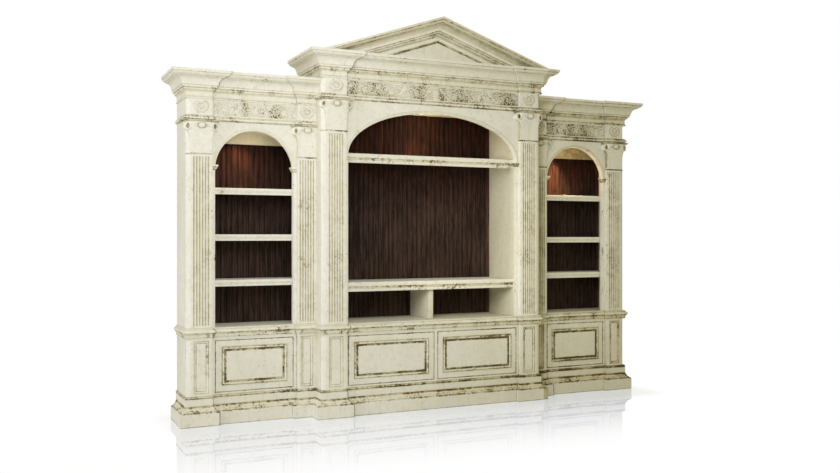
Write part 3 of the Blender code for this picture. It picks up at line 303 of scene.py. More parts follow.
stainLook = {
    "dark": rgba(0.0065, 0.0020, 0.0012),
    "brown": rgba(0.0420, 0.0135, 0.0080),
    "red": rgba(0.1400, 0.0400, 0.0210),
    "greySheen": rgba(0.2000, 0.1450, 0.1180),
    "groove": rgba(0.0010, 0.0003, 0.0002),
    "pitch": 0.042, "specular": 0.12, "relief": 0.35, "depth": 0.0012,
    # grain and figure: how they are drawn out upwards, then their noise
    "grain": ((1.0, 1.0, 0.03), (150.0, 6.0, 0.65, 0.3)),
    "figure": ((1.0, 1.0, 0.12), (40.0, 5.0, 0.68, 1.2)),
    "cloud": (3.2, 3.0), "stops": {"dark": 0.48, "brown": 0.60, "red": 0.74},
    "mix": {"grain": 0.46, "figure": 0.42, "cloud": 0.20, "tone": 0.13},
    "sheenUp": (1.30, 2.00), "sheenMix": (0.46, 0.76), "sheenShare": 0.60,
    "grooveShare": 0.95,
}


def stainFinish(name):
    # dark stained boards: long upright grain, and each board between two grooves its own tone
    look, mix = stainLook, stainLook["mix"]
    material, shader, place = startFinish(name, look["specular"])
    grain, figure = (place.stretched(look[key][0]).noise(*look[key][1])
                     for key in ("grain", "figure"))
    board = (place.part(0) / look["pitch"]).calc("FLOOR")
    tone = place.node("ShaderNodeTexWhiteNoise", {"noise_dimensions": "1D"}, {"W": board})
    groove = place.carried("glaze")
    mixed = (grain * mix["grain"] + figure * mix["figure"]
             + place.noise(*look["cloud"]) * mix["cloud"] + tone * mix["tone"])
    colour = place.node("ShaderNodeValToRGB", {"stops": [
        (stop, look[tint]) for tint, stop in look["stops"].items()]}, {0: mixed})
    # a painted grey sheen lightens the upper half of the grain, more so lower down the boards
    greySheen = (1 - place.part(2).fade(*look["sheenUp"])) * mixed.fade(*look["sheenMix"])
    colour = colour.blendTo(look["greySheen"], greySheen * look["sheenShare"])
    # the grooves are painted near black as their shade, carried in the glaze attribute
    colour = colour.blendTo(look["groove"], groove * look["grooveShare"])
    rough = 0.38 + 0.28 * grain + 0.25 * groove
    surface(shader, colour, rough, grain, look["relief"], look["depth"])
    return material


metalLook = {"lines": (420.0, 3.0), "dull": 0.6, "dullFrom": (0.35, 0.8), "dullShare": 0.5,
             "rougher": 0.18, "relief": 0.12, "depth": 0.0004}


def metalFinish(name, colour, roughness, stretch):
    # brushed metal: fine lines along the turned or drawn direction
    look = metalLook
    material, shader, place = startFinish(name)
    shader.inputs["Metallic"].default_value = 1.0
    brushed = place.stretched((1.0, 1.0, stretch)).noise(*look["lines"])
    tone = place.blend(rgba(*colour), rgba(*(channel * look["dull"] for channel in colour)),
                       brushed.fade(*look["dullFrom"]) * look["dullShare"])
    surface(shader, tone, roughness + look["rougher"] * brushed, brushed, look["relief"],
            look["depth"])
    return material


def plasticFinish(name):
    # grey moulded plastic with a fine spark grain
    material, shader, place = startFinish(name)
    grain = place.noise(900.0, 2.0)
    tone = place.blend(rgba(0.20, 0.19, 0.18), rgba(0.27, 0.26, 0.25), grain)
    surface(shader, tone, 0.42 + 0.2 * grain, grain, 0.25, 0.0003)
    return material


finishes = {
    "cream_paint": paintFinish("cream_paint_aged"),
    "dark_stain": stainFinish("dark_stain_boards"),
    "steel": metalFinish("steel_drawn", (0.56, 0.55, 0.53), 0.26, 0.05),
    "latch_grey": plasticFinish("latch_grey_moulded"),
    "light_metal": metalFinish("light_metal_turned", (0.72, 0.71, 0.69), 0.28, 0.2),
}
print("finishes made:", ", ".join(finishes))


# Meshes from arrays

rounding = {
    "radius": 0.0013, "longest": 0.45, "points": 4, "step": 0.0030, "least": 1e-7,
    # how wide wear and glaze spread, and how strong they are for a turn in radians
    "wearWidth": 0.0022, "fullTurn": 1.1, "lineWidth": 0.0018, "line": 0.78,
    "softWidth": 0.0072, "soft": 0.26, "hollowWear": 0.85,
    # the dark line of a mitred joint: its half-width, usual strength, and share where the
    # corner turns outward
    "joint": 0.0022, "usual": 1.5, "outward": 0.3, "jointWear": 0.9,
}


def softened(outline, radius=None):
    # An outline of (out, up) read from its foot, material behind it. Each corner becomes
    # (1-t)^2 first + 2t(1-t) corner + t^2 last. Wear is the turning towards the material and
    # glaze the turning away from it, both spread along the length by a bell curve.
    look = rounding
    outline = np.asarray(outline, float)
    corner = outline[1:-1]
    back, ahead = outline[:-2] - corner, outline[2:] - corner
    backLong = np.linalg.norm(back, axis=1, keepdims=True)
    aheadLong = np.linalg.norm(ahead, axis=1, keepdims=True)
    reach = np.minimum(radius or look["radius"],
                       look["longest"] * np.minimum(backLong, aheadLong))
    first, last = corner + back / backLong * reach, corner + ahead / aheadLong * reach
    t = np.linspace(0, 1, look["points"])[None, :, None]
    curve = ((1 - t) ** 2 * first[:, None] + 2 * t * (1 - t) * corner[:, None]
             + t ** 2 * last[:, None])
    points = np.vstack([outline[:1], curve.reshape(-1, 2), outline[-1:]])
    long = np.linalg.norm(np.diff(points, axis=0), axis=1)
    points = points[np.concatenate([[True], long > look["least"]])]
    long = long[long > look["least"]]
    travelled = np.concatenate([[0], np.cumsum(long)])
    pieces = np.maximum(1, np.ceil(long / look["step"])).astype(int)
    offset = np.arange(pieces.sum()) - np.repeat(np.cumsum(pieces) - pieces, pieces)
    marks = np.repeat(travelled[:-1], pieces) + offset * np.repeat(long / pieces, pieces)
    marks = np.append(marks, travelled[-1])
    out, up = (np.interp(marks, travelled, points[:, axis]) for axis in (0, 1))
    step = np.diff(points, axis=0)
    cross = step[:-1, 0] * step[1:, 1] - step[:-1, 1] * step[1:, 0]
    turn = np.arctan2(cross, np.sum(step[:-1] * step[1:], axis=1))
    away = marks[:, None] - travelled[None, 1:-1]

    def spread(width, amount):
        return np.exp(-0.5 * (away / look[width]) ** 2) @ np.maximum(amount, 0)

    wear = np.clip(spread("wearWidth", turn) / look["fullTurn"], 0, 1)
    glaze = np.clip(look["line"] * spread("lineWidth", -turn)
                    + look["soft"] * spread("softWidth", -turn), 0, 1)
    return np.column_stack([out, up, np.maximum(wear, look["hollowWear"] * glaze), glaze])


def moulding(shares, reach, height, base=0.0, radius=None, calm=1.0, marks=()):
    # An outline given in shares of a reach and a height. Calm scales its wear and glaze, and
    # each mark (low, high, wear, glaze) adds to them between two shares of the height.
    profile = softened(np.array(shares) * (reach, height) + (0, base), radius)
    profile = profile * (1, 1, calm, calm)
    share = (profile[:, 1] - base) / height
    for low, high, *more in marks:
        inside = (share > low - 1e-6) & (share < high + 1e-6)
        profile[:, 2:] = np.clip(profile[:, 2:] + inside[:, None] * np.array(more), 0, 1)
    return profile


class Shape:
    # patches gathered into one mesh, each point with its wear and its glaze
    def __init__(self):
        self.points, self.wear, self.glaze = [], [], []
        self.quads, self.caps, self.count = [], [], 0

    def grid(self, points, wear=0.0, glaze=0.0, around=False, along=False, caps=False):
        # quads between rows and columns, facing the row direction times the column
        # direction; around joins last column to first, along joins last row to first
        rows, columns = points.shape[:2]
        index = self.count + np.arange(rows * columns).reshape(rows, columns)
        if caps:
            self.caps += [index[0], index[-1][::-1]]
        if around:
            index = np.hstack([index, index[:, :1]])
        if along:
            index = np.vstack([index, index[:1]])
        corners = [index[:-1, :-1], index[1:, :-1], index[1:, 1:], index[:-1, 1:]]
        self.quads.append(np.stack(corners, axis=-1).reshape(-1, 4))
        self.points.append(points.reshape(-1, 3))
        self.wear.append(np.broadcast_to(wear, (rows, columns)).ravel())
        self.glaze.append(np.broadcast_to(glaze, (rows, columns)).ravel())
        self.count += rows * columns

    def prism(self, outline, low, high, wear=0.0, glaze=0.0):
        # an outline in plan carried straight up, run clockwise seen from above
        outline = np.asarray(outline, float)
        x, y = outline.T
        if np.sum(x * np.roll(y, -1) - y * np.roll(x, -1)) > 0:
            outline = outline[::-1]
        rings = np.empty((2, len(outline), 3))
        rings[..., :2] = outline
        rings[0, :, 2], rings[1, :, 2] = low, high
        self.grid(rings, wear, glaze, around=True, caps=True)

    def box(self, x, y, z, *marks):
        self.prism([(x[0], y[0]), (x[1], y[0]), (x[1], y[1]), (x[0], y[1])], *z, *marks)

    def sweep(self, path, profile, inner, ends=(None, None), joint=rounding["usual"]):
        # A point is its station plus its reach along the mitre, which is the sum of the two
        # stretches' normals over one plus their product. Beside each corner stand two more
        # stations, so that glaze marks the joint, more so in an inward corner.
        path = np.asarray(path, float)
        step = np.diff(path, axis=0)
        step /= np.linalg.norm(step, axis=1, keepdims=True)
        normal = np.column_stack([-step[:, 1], step[:, 0]])
        before, after = np.vstack([normal[:1], normal]), np.vstack([normal, normal[-1:]])
        mitre = (before + after) / (1 + np.sum(before * after, axis=1, keepdims=True))
        cross = step[:-1, 0] * step[1:, 1] - step[:-1, 1] * step[1:, 0]
        joint = np.broadcast_to(joint, len(cross))
        marks = np.where(cross > 0, 1.0, rounding["outward"]) * joint
        near = rounding["joint"] * np.maximum(joint / rounding["usual"], 1)[:, None]
        corner = np.stack([path[1:-1] - near * step[:-1], path[1:-1],
                           path[1:-1] + near * step[1:]], axis=1)
        station = np.vstack([path[:1], corner.reshape(-1, 2), path[-1:]])
        mark = np.concatenate([[0], np.outer(marks, [0, 1, 0]).ravel(), [0]])
        lean = np.vstack([mitre[:1], np.repeat(mitre[1:-1], 3, axis=0), mitre[-1:]])
        inner = np.column_stack([np.asarray(inner, float), np.zeros((len(inner), 2))])
        ring = np.vstack([profile, inner])[::-1]
        rings = np.empty((len(station), len(ring), 3))
        rings[..., :2] = station[:, None] + lean[:, None] * ring[None, :, :1]
        rings[..., 2] = ring[:, 1]
        for end, turn in zip((0, -1), ends):
            if turn is not None:
                outward = np.maximum(ring[:, :1], 0) * turn
                inward = np.minimum(ring[:, :1], 0) * mitre[end]
                rings[end, :, :2] = path[end] + outward + inward
        mark = mark[:, None] * (ring[:, 0] >= 0)
        self.grid(rings, np.maximum(ring[:, 2], rounding["jointWear"] * mark),
                  np.maximum(ring[:, 3], mark), around=True, caps=True)

    def rings(self, rectangles, depths, wear=0.0, glaze=0.0, caps=True, along=False):
        # upright rectangles (low x, high x, low z, high z), clockwise seen from the front
        lowX, highX, lowZ, highZ = np.asarray(rectangles, float).T
        x = np.stack([highX, lowX, lowX, highX], 1)
        z = np.stack([lowZ, lowZ, highZ, highZ], 1)
        y = np.broadcast_to(np.asarray(depths, float)[:, None], x.shape)
        wear = np.broadcast_to(wear, len(x))[:, None]
        glaze = np.broadcast_to(glaze, len(x))[:, None]
        self.grid(np.stack([x, y, z], -1), wear, glaze, around=True, caps=caps,
                  along=along)

    def carved(self, x, z, height, ground, back, wear, glaze):
        # a slab whose face is ground minus the carved height at each (x, z)
        fx, fz = np.meshgrid(x[::-1], z)
        face = np.stack([fx, ground - height[:, ::-1], fz], -1)
        self.grid(face, wear[:, ::-1], glaze[:, ::-1])
        rim = np.vstack([face[0], face[1:, -1], face[-1, -2::-1], face[-2:0:-1, 0]])
        behind = rim.copy()
        behind[:, 1] = back
        self.grid(np.stack([behind, rim]), around=True)
        self.caps.append(self.count - 2 * len(rim) + np.arange(len(rim)))

    def turned(self, profile, centre, steps):
        # radius and height pairs turned about an upright axis, read from the low end
        profile = np.asarray(profile, float)
        angle = -2 * np.pi * np.arange(steps) / steps
        ring = np.empty((len(profile), steps, 3))
        ring[..., 0] = centre[0] + profile[:, :1] * np.cos(angle)
        ring[..., 1] = centre[1] + profile[:, :1] * np.sin(angle)
        ring[..., 2] = profile[:, 1:]
        self.grid(ring, around=True, caps=True)

    def mirror(self):
        # to the other side of x = 0, still facing outward
        self.points = [patch * (-1, 1, 1) for patch in self.points]
        self.quads = [quads[:, ::-1] for quads in self.quads]
        self.caps = [cap[::-1] for cap in self.caps]

    def join(self, other):
        self.points += other.points
        self.wear += other.wear
        self.glaze += other.glaze
        self.quads += [quads + self.count for quads in other.quads]
        self.caps += [cap + self.count for cap in other.caps]
        self.count += other.count

    def mesh(self, name):
        points, quads = np.vstack(self.points), np.vstack(self.quads)
        lengths = [4] * len(quads) + [len(cap) for cap in self.caps]
        loops = np.concatenate([quads.ravel(), *self.caps]).astype(np.int32)
        starts = np.concatenate([[0], np.cumsum(lengths)[:-1]]).astype(np.int32)
        mesh = bpy.data.meshes.new(name)
        mesh.vertices.add(len(points))
        mesh.vertices.foreach_set("co", points.astype(np.float32).ravel())
        mesh.loops.add(len(loops))
        mesh.loops.foreach_set("vertex_index", loops)
        mesh.polygons.add(len(lengths))
        mesh.polygons.foreach_set("loop_start", starts)
        mesh.update(calc_edges=True)
        for title, values in (("wear", self.wear), ("glaze", self.glaze)):
            layer = mesh.attributes.new(title, "FLOAT", "POINT")
            layer.data.foreach_set("value", np.concatenate(values).astype(np.float32))
        return mesh

    def build(self, name, slot="cream_paint", body="cabinet", replaced=(), side=1,
              angle=38, weld=False, clip=None, finishName=None):
        if side < 0:
            self.mirror()
        mesh = self.mesh(name)
        if weld:
            reworked(mesh, welded)
        if clip is not None:
            reworked(mesh, lambda work: cutOff(work, clip * side, side))
        mesh.shade_smooth()
        mesh.set_sharp_from_angle(angle=math.radians(angle))
        return placed(mesh, name, slot, body, replaced, finishName)


def reworked(mesh, *changes):
    work = bmesh.new()
    work.from_mesh(mesh)
    for change in changes:
        change(work)
    work.to_mesh(mesh)
    work.free()


def welded(work):
    bmesh.ops.remove_doubles(work, verts=work.verts, dist=1e-6)


def flattened(work):
    # the triangles of each flat face become one polygon
    bmesh.ops.dissolve_limit(work, angle_limit=math.radians(1), verts=work.verts,
                             edges=work.edges)


def cutOff(work, x, side):
    # what lies nearer the middle than a plane is cut away, and the cut closed
    cut = bmesh.ops.bisect_plane(
        work, geom=work.verts[:] + work.edges[:] + work.faces[:], dist=1e-7,
        plane_co=(x, 0, 0), plane_no=(-side, 0, 0), clear_outer=True)
    rims = [item for item in cut["geom_cut"] if isinstance(item, bmesh.types.BMEdge)]
    bmesh.ops.holes_fill(work, edges=rims, sides=0)


def placed(mesh, name, slot, body, replaced, finishName=None):
    mesh.materials.clear()
    mesh.materials.append(finishes[finishName or slot])
    item = bpy.data.objects.new(name, mesh)
    scene.collection.objects.link(item)
    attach(item, body)
    if replaced:
        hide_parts(*replaced)
    return item


easing = {"width": 0.0014, "segments": 2, "angle": 35}


def eased(name, glaze):
    # a merged copy of a solid with its edges rounded over
    mesh = nodes[name].data.copy()
    reworked(mesh, welded, flattened)
    mesh.shade_smooth()
    layer = mesh.attributes.new("glaze", "FLOAT", "POINT")
    layer.data.foreach_set("value", np.full(len(mesh.vertices), glaze, np.float32))
    item = placed(mesh, name + "_eased", "cream_paint", "cabinet", (name,))
    bevel = item.modifiers.new("eased", "BEVEL")
    bevel.width, bevel.segments = easing["width"], easing["segments"]
    bevel.limit_method, bevel.angle_limit = "ANGLE", math.radians(easing["angle"])
    bevel.harden_normals, bevel.loop_slide = True, False


# Plinths

def sidePath():
    # round a right-hand side bay from its back, forward over each pilaster
    return [(bodyHalf, backY), (bodyHalf, sideFront), (outerEdge, sideFront),
            (outerEdge, sideFace), (innerEdge, sideFace), (innerEdge, sideFront),
            (innerX, sideFront)]


def acrossBoth(right):
    # an outline run on the right, then back on the left
    return right + [(-x, y) for x, y in reversed(right)]


def centrePath(startY):
    return acrossBoth([(centreHalf, startY), (centreHalf, centreFront),
                       (centreEdge, centreFront), (centreEdge, centreFace)])


# how strongly each corner of those paths is marked: 1.5 is a joint's glaze line, and 5.0 adds a
# painted shadow beside a return that faces right, away from the lamps
jointsAndShadows = {-1: [1.5, 5.0, 1.5, 1.5, 1.5], 1: [1.5, 1.5, 1.5, 1.5, 5.0],
          0: [1.5, 1.5, 1.5, 1.5, 5.0, 1.5]}


def banded(side, profile, inner):
    # a moulding round one bay's front, mitred where the centre bay meets the side bays
    right, left = np.array([1.0, -1.0]), np.array([-1.0, -1.0])
    path, ends = ((sidePath(), (None, right)) if side
                  else (centrePath(sideFront), (right, left)))
    shape = Shape()
    shape.sweep(path, profile, inner, ends, jointsAndShadows[side])
    return shape


plinth = {
    "reach": 0.0435, "rail": 0.030, "floor": 0.020, "calm": 0.82,
    "shares": (
        (1.00, 0.000), (1.00, 0.432), (0.96, 0.448), (0.88, 0.456), (0.76, 0.462),
        (0.74, 0.478), (0.66, 0.500), (0.52, 0.516), (0.42, 0.540), (0.36, 0.570),
        (0.32, 0.600), (0.24, 0.618), (0.20, 0.622), (0.20, 0.650), (0.14, 0.655),
        (0.14, 0.910), (0.05, 0.918), (0.05, 0.928), (0.15, 0.934), (0.20, 0.950),
        (0.15, 0.968), (0.05, 0.976), (0.00, 0.980), (0.00, 1.000)),
}
top, rail = levels["platformTop"], plinth["rail"]
# the plinth's foot is painted dark: glaze with a painted contact shadow
footGlazeAndShadow = (0.0, 0.003 / top, 0.5, 0.9)              # dark where it meets the floor
plinthProfile = moulding(
    plinth["shares"], plinth["reach"], top, calm=plinth["calm"],
    marks=((0.44, 0.66, 0.36, 0.0), (0.90, 1.0, 0.28, 0.04), footGlazeAndShadow))
slab = (top - plinth["floor"], top)
for side, bay in bayNames.items():
    shape = banded(side, plinthProfile, [(-rail, top), (-rail, 0)])
    if side:
        shape.box((innerX, bodyHalf - rail), (backY - rail, backY), (0, top))
        shape.box((innerX, innerX + rail), (sideFace, backY - rail), (0, top))
        shape.box((innerX + rail, bodyHalf - rail), (sideFace + rail, backY - rail), slab)
    else:
        inside = centreHalf - rail
        shape.box((-centreHalf, centreHalf), (backY - rail, backY), (0, top))
        shape.box((-centreHalf, -inside), (sideFront, backY - rail), (0, top))
        shape.box((inside, centreHalf), (sideFront, backY - rail), (0, top))
        shape.box((-inside, inside), (centreFace + rail, backY - rail), slab)
    shape.build(bay + "_plinth_moulded", replaced=(bay + "_plinth",), side=side)
print("plinths done")


# Cupboard fronts

cupboard = {
    "panelSideShare": 0.18, "panelEdge": 0.017, "panelDepth": 0.007, "panelSlope": 0.016,
    "panelShares": ((0.0, 0.0), (0.12, 0.30), (0.42, 0.42), (0.62, 0.95), (1.0, 1.0)),
    "panelRadius": 0.001, "panelLead": 0.004, "panelFloor": 0.006,
    "easing": 0.0014, "centreStile": 0.029, "rebate": 0.002,
    # dark lines at the panel's rim and at the foot of its slope: place and strength
    "lines": ((0.0005, 0.95), (0.016, 1.0)), "lineWidth": 0.0016,
    "lineWear": 0.7, "slopeWear": 0.45, "slopeGlaze": 0.20,
    # the opening's edge: outward and behind the face in easings, wear, glaze
    "edge": ((5, 0, 0, 0), (1, 0, 0.7, 0.25), (0.3, 0.3, 0.8, 0.9), (0, 1, 0.8, 1),
             (0, 5, 0.3, 1)),
    "corner": {"wide": 0.0028, "proud": 0.0004, "deep": 0.001, "wear": 0.8, "glaze": 1.0},
}
baseLow, baseHigh = levels["platformTop"] + gap, levels["waistBase"] - gap
half = cupboard["centreStile"] / 2


def faceFrame(shape, lowX, highX, openLow, openHigh, face):
    # a board with an opening, its inner edge rounded: rings from the outer back edge over
    # the face to the inner back edge and round again
    ease, back = cupboard["easing"], face + frameThick
    outer = (lowX, highX, baseLow, baseHigh)
    opening = np.array([openLow, openHigh, openings["doorLow"], openings["doorHigh"]])
    out, deep, wear, glaze = np.array(cupboard["edge"]).T
    grown = opening + out[:, None] * ease * np.array([-1, 1, -1, 1])
    shape.rings(np.vstack([outer, outer, grown, opening]),
                [back, face, *(face + deep * ease), back],
                [0, 0, *wear, 0], [0, 0, *glaze, 1], caps=False, along=True)


def pedestal(shape, low, high, face, flat):
    # a block with a flat on its outer corner and a sunk, moulded panel in its face
    look, ease = cupboard, cupboard["easing"]
    front, flatHigh = face - relief, high - flat
    border = (flatHigh - low) * look["panelSideShare"]
    start = np.array([low + border, flatHigh - border,
                      levels["platformTop"] + look["panelEdge"],
                      levels["waistBase"] - look["panelEdge"]])
    steps = np.array(look["panelShares"]) * (look["panelSlope"], look["panelDepth"])
    steps = np.vstack([[-look["panelLead"], 0], steps, steps[-1] + (look["panelFloor"], 0)])
    profile = softened(np.column_stack([-steps[:, 1], steps[:, 0]]), look["panelRadius"])
    deep, inset = profile[:, 0], profile[:, 1]
    shares = np.array([0, 0.15, 0.85, 1.0])
    lead = [(low, high, baseLow, baseHigh)]
    lead += [(low, high - share * flat, baseLow, baseHigh) for share in shares]
    lead.append((low + ease, flatHigh - 0.6 * ease, baseLow, baseHigh))
    slant = (flat or ease) * (1 - shares) + 0.3 * ease * shares
    lines = sum(tall * np.exp(-((inset - place) / look["lineWidth"]) ** 2)
                for place, tall in look["lines"])
    slope = (inset > 0) & (inset < look["panelSlope"])
    shape.rings(np.vstack([lead, start + inset[:, None] * np.array([1, -1, 1, -1])]),
                np.concatenate([[face + look["rebate"]], front + slant, [front],
                                front - deep]),
                [0, 0.5, 0, 0, 0.6, 0, *(look["slopeWear"] * slope + look["lineWear"] * lines)],
                [0, 0, 0, 0, 0, 0, *(lines + look["slopeGlaze"] * slope)])


def cornerGlazeAndShadow(shape, x, toward, face):
    # a dark strip of glaze and painted shadow where a pedestal stands on the frame
    look = cupboard["corner"]
    shape.box(sorted((x, x + toward * look["wide"])),
              (face - look["proud"], face + look["deep"]), (baseLow, baseHigh),
              look["wear"], look["glaze"])


for side, bay in bayNames.items():
    shape = Shape()
    if side:
        faceFrame(shape, innerX, bodyHalf, openings["sideIn"], openings["sideOut"], sideFace)
        pedestal(shape, outerEdge, bodyHalf, sideFace, chamfer)
        pedestal(shape, innerX, innerEdge, sideFace, 0)
        cornerGlazeAndShadow(shape, innerEdge, 1, sideFace)
        cornerGlazeAndShadow(shape, outerEdge, -1, sideFace)
    else:
        for turn in (-1, 1):
            part = Shape()
            faceFrame(part, 0, centreHalf, half, openings["centreOut"], centreFace)
            pedestal(part, centreEdge, centreHalf, centreFace, chamfer)
            cornerGlazeAndShadow(part, centreEdge, -1, centreFace)
            if turn < 0:
                part.mirror()
            shape.join(part)
    shape.build(bay + "_base_frame_panelled", replaced=(bay + "_base_frame",), side=side)
print("cupboard fronts done")


# Doors

doorLook = {
    "thick": 0.020, "gap": 0.003, "border": 0.046, "raise": 0.007, "sink": 0.006,
    "ringWidth": 0.034, "radius": 0.0012, "field": 0.01, "edge": (0.0004, 0.001),
    "ringShares": (
        (0.00, 0.0), (0.06, 0.70), (0.16, 1.0), (0.34, 0.80), (0.42, 0.25), (0.50, -1.0),
        (0.80, -1.0), (0.90, -0.45), (1.00, -0.25)),
    # the channel in shares of the ring: from, over, to, over; and the line at its rim
    "channel": (0.40, 0.08, 1.02, 0.20), "line": (0.50, 0.07),
    # the channel's wear and glaze darken it as glaze with painted shade in its hollow
    "channelWearAndShade": 1.1, "lineWear": 0.2, "channelGlazeAndShade": 0.40, "lineGlaze": 0.6,
}


def doorLeaf(node, lowX, highX, face, side):
    # rings from the back over the rounded edge to the raised moulding and its channel
    look = doorLook
    base, head = openings["doorLow"] + look["gap"], openings["doorHigh"] - look["gap"]
    shares = np.array(look["ringShares"])
    raised = shares[:, 1] * np.where(shares[:, 1] > 0, look["raise"], look["sink"])
    steps = np.column_stack([raised, look["border"] + shares[:, 0] * look["ringWidth"]])
    steps = np.vstack([[-look["thick"], 0], [0, 0], steps,
                       [steps[-1, 0], steps[-1, 1] + look["field"]]])
    profile = softened(steps, look["radius"])
    inset = profile[:, 1:2] * np.array([1, -1, 1, -1])
    deep, near = look["edge"]
    edge = np.where((profile[:, 0] < -deep) & (profile[:, 1] < near), 1.0, 0.0)
    edge[0] = 0                                      # the back stays plain
    ring = (profile[:, 1] - look["border"]) / look["ringWidth"]
    start, rise, end, fall = look["channel"]
    channel = np.clip(np.minimum((ring - start) / rise, (end - ring) / fall), 0, 1)
    line = np.exp(-((ring - look["line"][0]) / look["line"][1]) ** 2)
    shape = Shape()
    shape.rings(
        np.array([lowX, highX, base, head]) + inset, face - profile[:, 0],
        np.maximum(profile[:, 2], channel * look["channelWearAndShade"] + line * look["lineWear"]),
        np.maximum(np.maximum(profile[:, 3], channel * look["channelGlazeAndShade"]
                              + line * look["lineGlaze"]), edge))
    shape.build(node + "_moulded", body=node, replaced=(node,), side=side)


for side, sideName in sideNames.items():
    for bay, inner, outer, face in (
            ("", openings["sideIn"], openings["sideOut"], sideFace),
            ("centre_", half, openings["centreOut"], centreFace)):
        doorLeaf(bay + sideName + "_door", inner + doorLook["gap"], outer - doorLook["gap"],
                 face, side)
print("doors done")


# Waist

waist = {
    "reach": 0.0225, "housing": 0.006, "ledge": 0.022, "quirk": 0.001,
    # the ledge inside each bay carries a little wear and an even painted shade of glaze
    "calm": 0.85, "marks": ((0.06, 0.52, 0.40, 0.02),), "ledgeWearAndShade": (0.1, 0.24),
    "shares": (
        (0.25, 0.00), (0.25, 0.10), (0.30, 0.12), (0.34, 0.24), (0.44, 0.35),
        (0.60, 0.44), (0.78, 0.49), (0.80, 0.53), (0.93, 0.55), (1.00, 0.62),
        (1.00, 0.70), (0.93, 0.77), (0.66, 0.81), (0.46, 0.85), (0.34, 0.91),
        (0.28, 1.00)),
}
base, top = levels["waistBase"], levels["waistTop"]
waistProfile = moulding(waist["shares"], waist["reach"], top - base, base, waist["quirk"],
                        waist["calm"], waist["marks"])
inset, ledge = waist["housing"], (top - waist["ledge"], top)
for side, bay in bayNames.items():
    shape = banded(side, waistProfile, [(-inset, top), (-inset, base)])
    if side:
        back, inside = sideFace + frameThick, (innerX, wallX - gap)
        core = [(innerX, back), (bodyHalf - inset, back),
                (bodyHalf - inset, sideFront + inset), (outerEdge + inset, sideFront + inset),
                (outerEdge + inset, sideFace + inset), (innerEdge - inset, sideFace + inset),
                (innerEdge - inset, sideFront + inset), (innerX, sideFront + inset)]
    else:
        back, inside = centreFace + frameThick, openings["centreOut"] - gap
        core = acrossBoth([
            (centreHalf - inset, back), (centreHalf - inset, centreFront + inset),
            (centreEdge + inset, centreFront + inset),
            (centreEdge + inset, centreFace + inset)])
        inside = (-inside, inside)
    shape.prism(core, base, top)
    shape.box(inside, (back, backFace - gap), ledge, *waist["ledgeWearAndShade"])
    shape.build(bay + "_waist_moulded", replaced=(bay + "_waist",), side=side)
print("waist done")


# Arches

arch = {
    "steps": 96, "quirk": 0.003, "bandWidth": 0.024, "bandRaise": 0.004, "bandRadius": 0.0008,
    "bandCalm": 0.30, "sunk": 0.002, "easing": 0.0016, "footRows": 5,
    "impostHeight": 0.039, "impostReach": 0.018, "impostJoint": 0.3,
    "impostShares": (
        (0.15, 0.00), (0.15, 0.14), (0.40, 0.20), (0.50, 0.34), (0.72, 0.46),
        (0.72, 0.58), (1.00, 0.66), (1.00, 1.00)),
    "bandShares": (          # share of the raise, then share of the band's width
        (0.0, 0.0), (0.75, 0.02), (0.85, 0.30), (0.45, 0.34), (0.50, 0.62), (1.0, 0.70),
        (1.0, 0.90), (0.70, 0.98), (0.0, 1.0)),
    # how far the springing hangs below the entablature and the impost below the springing
    "side": {"drop": 0.335, "rise": 0.280, "impost": 0.005},
    "centre": {"drop": 0.399, "rise": 0.339, "impost": 0.040},
}


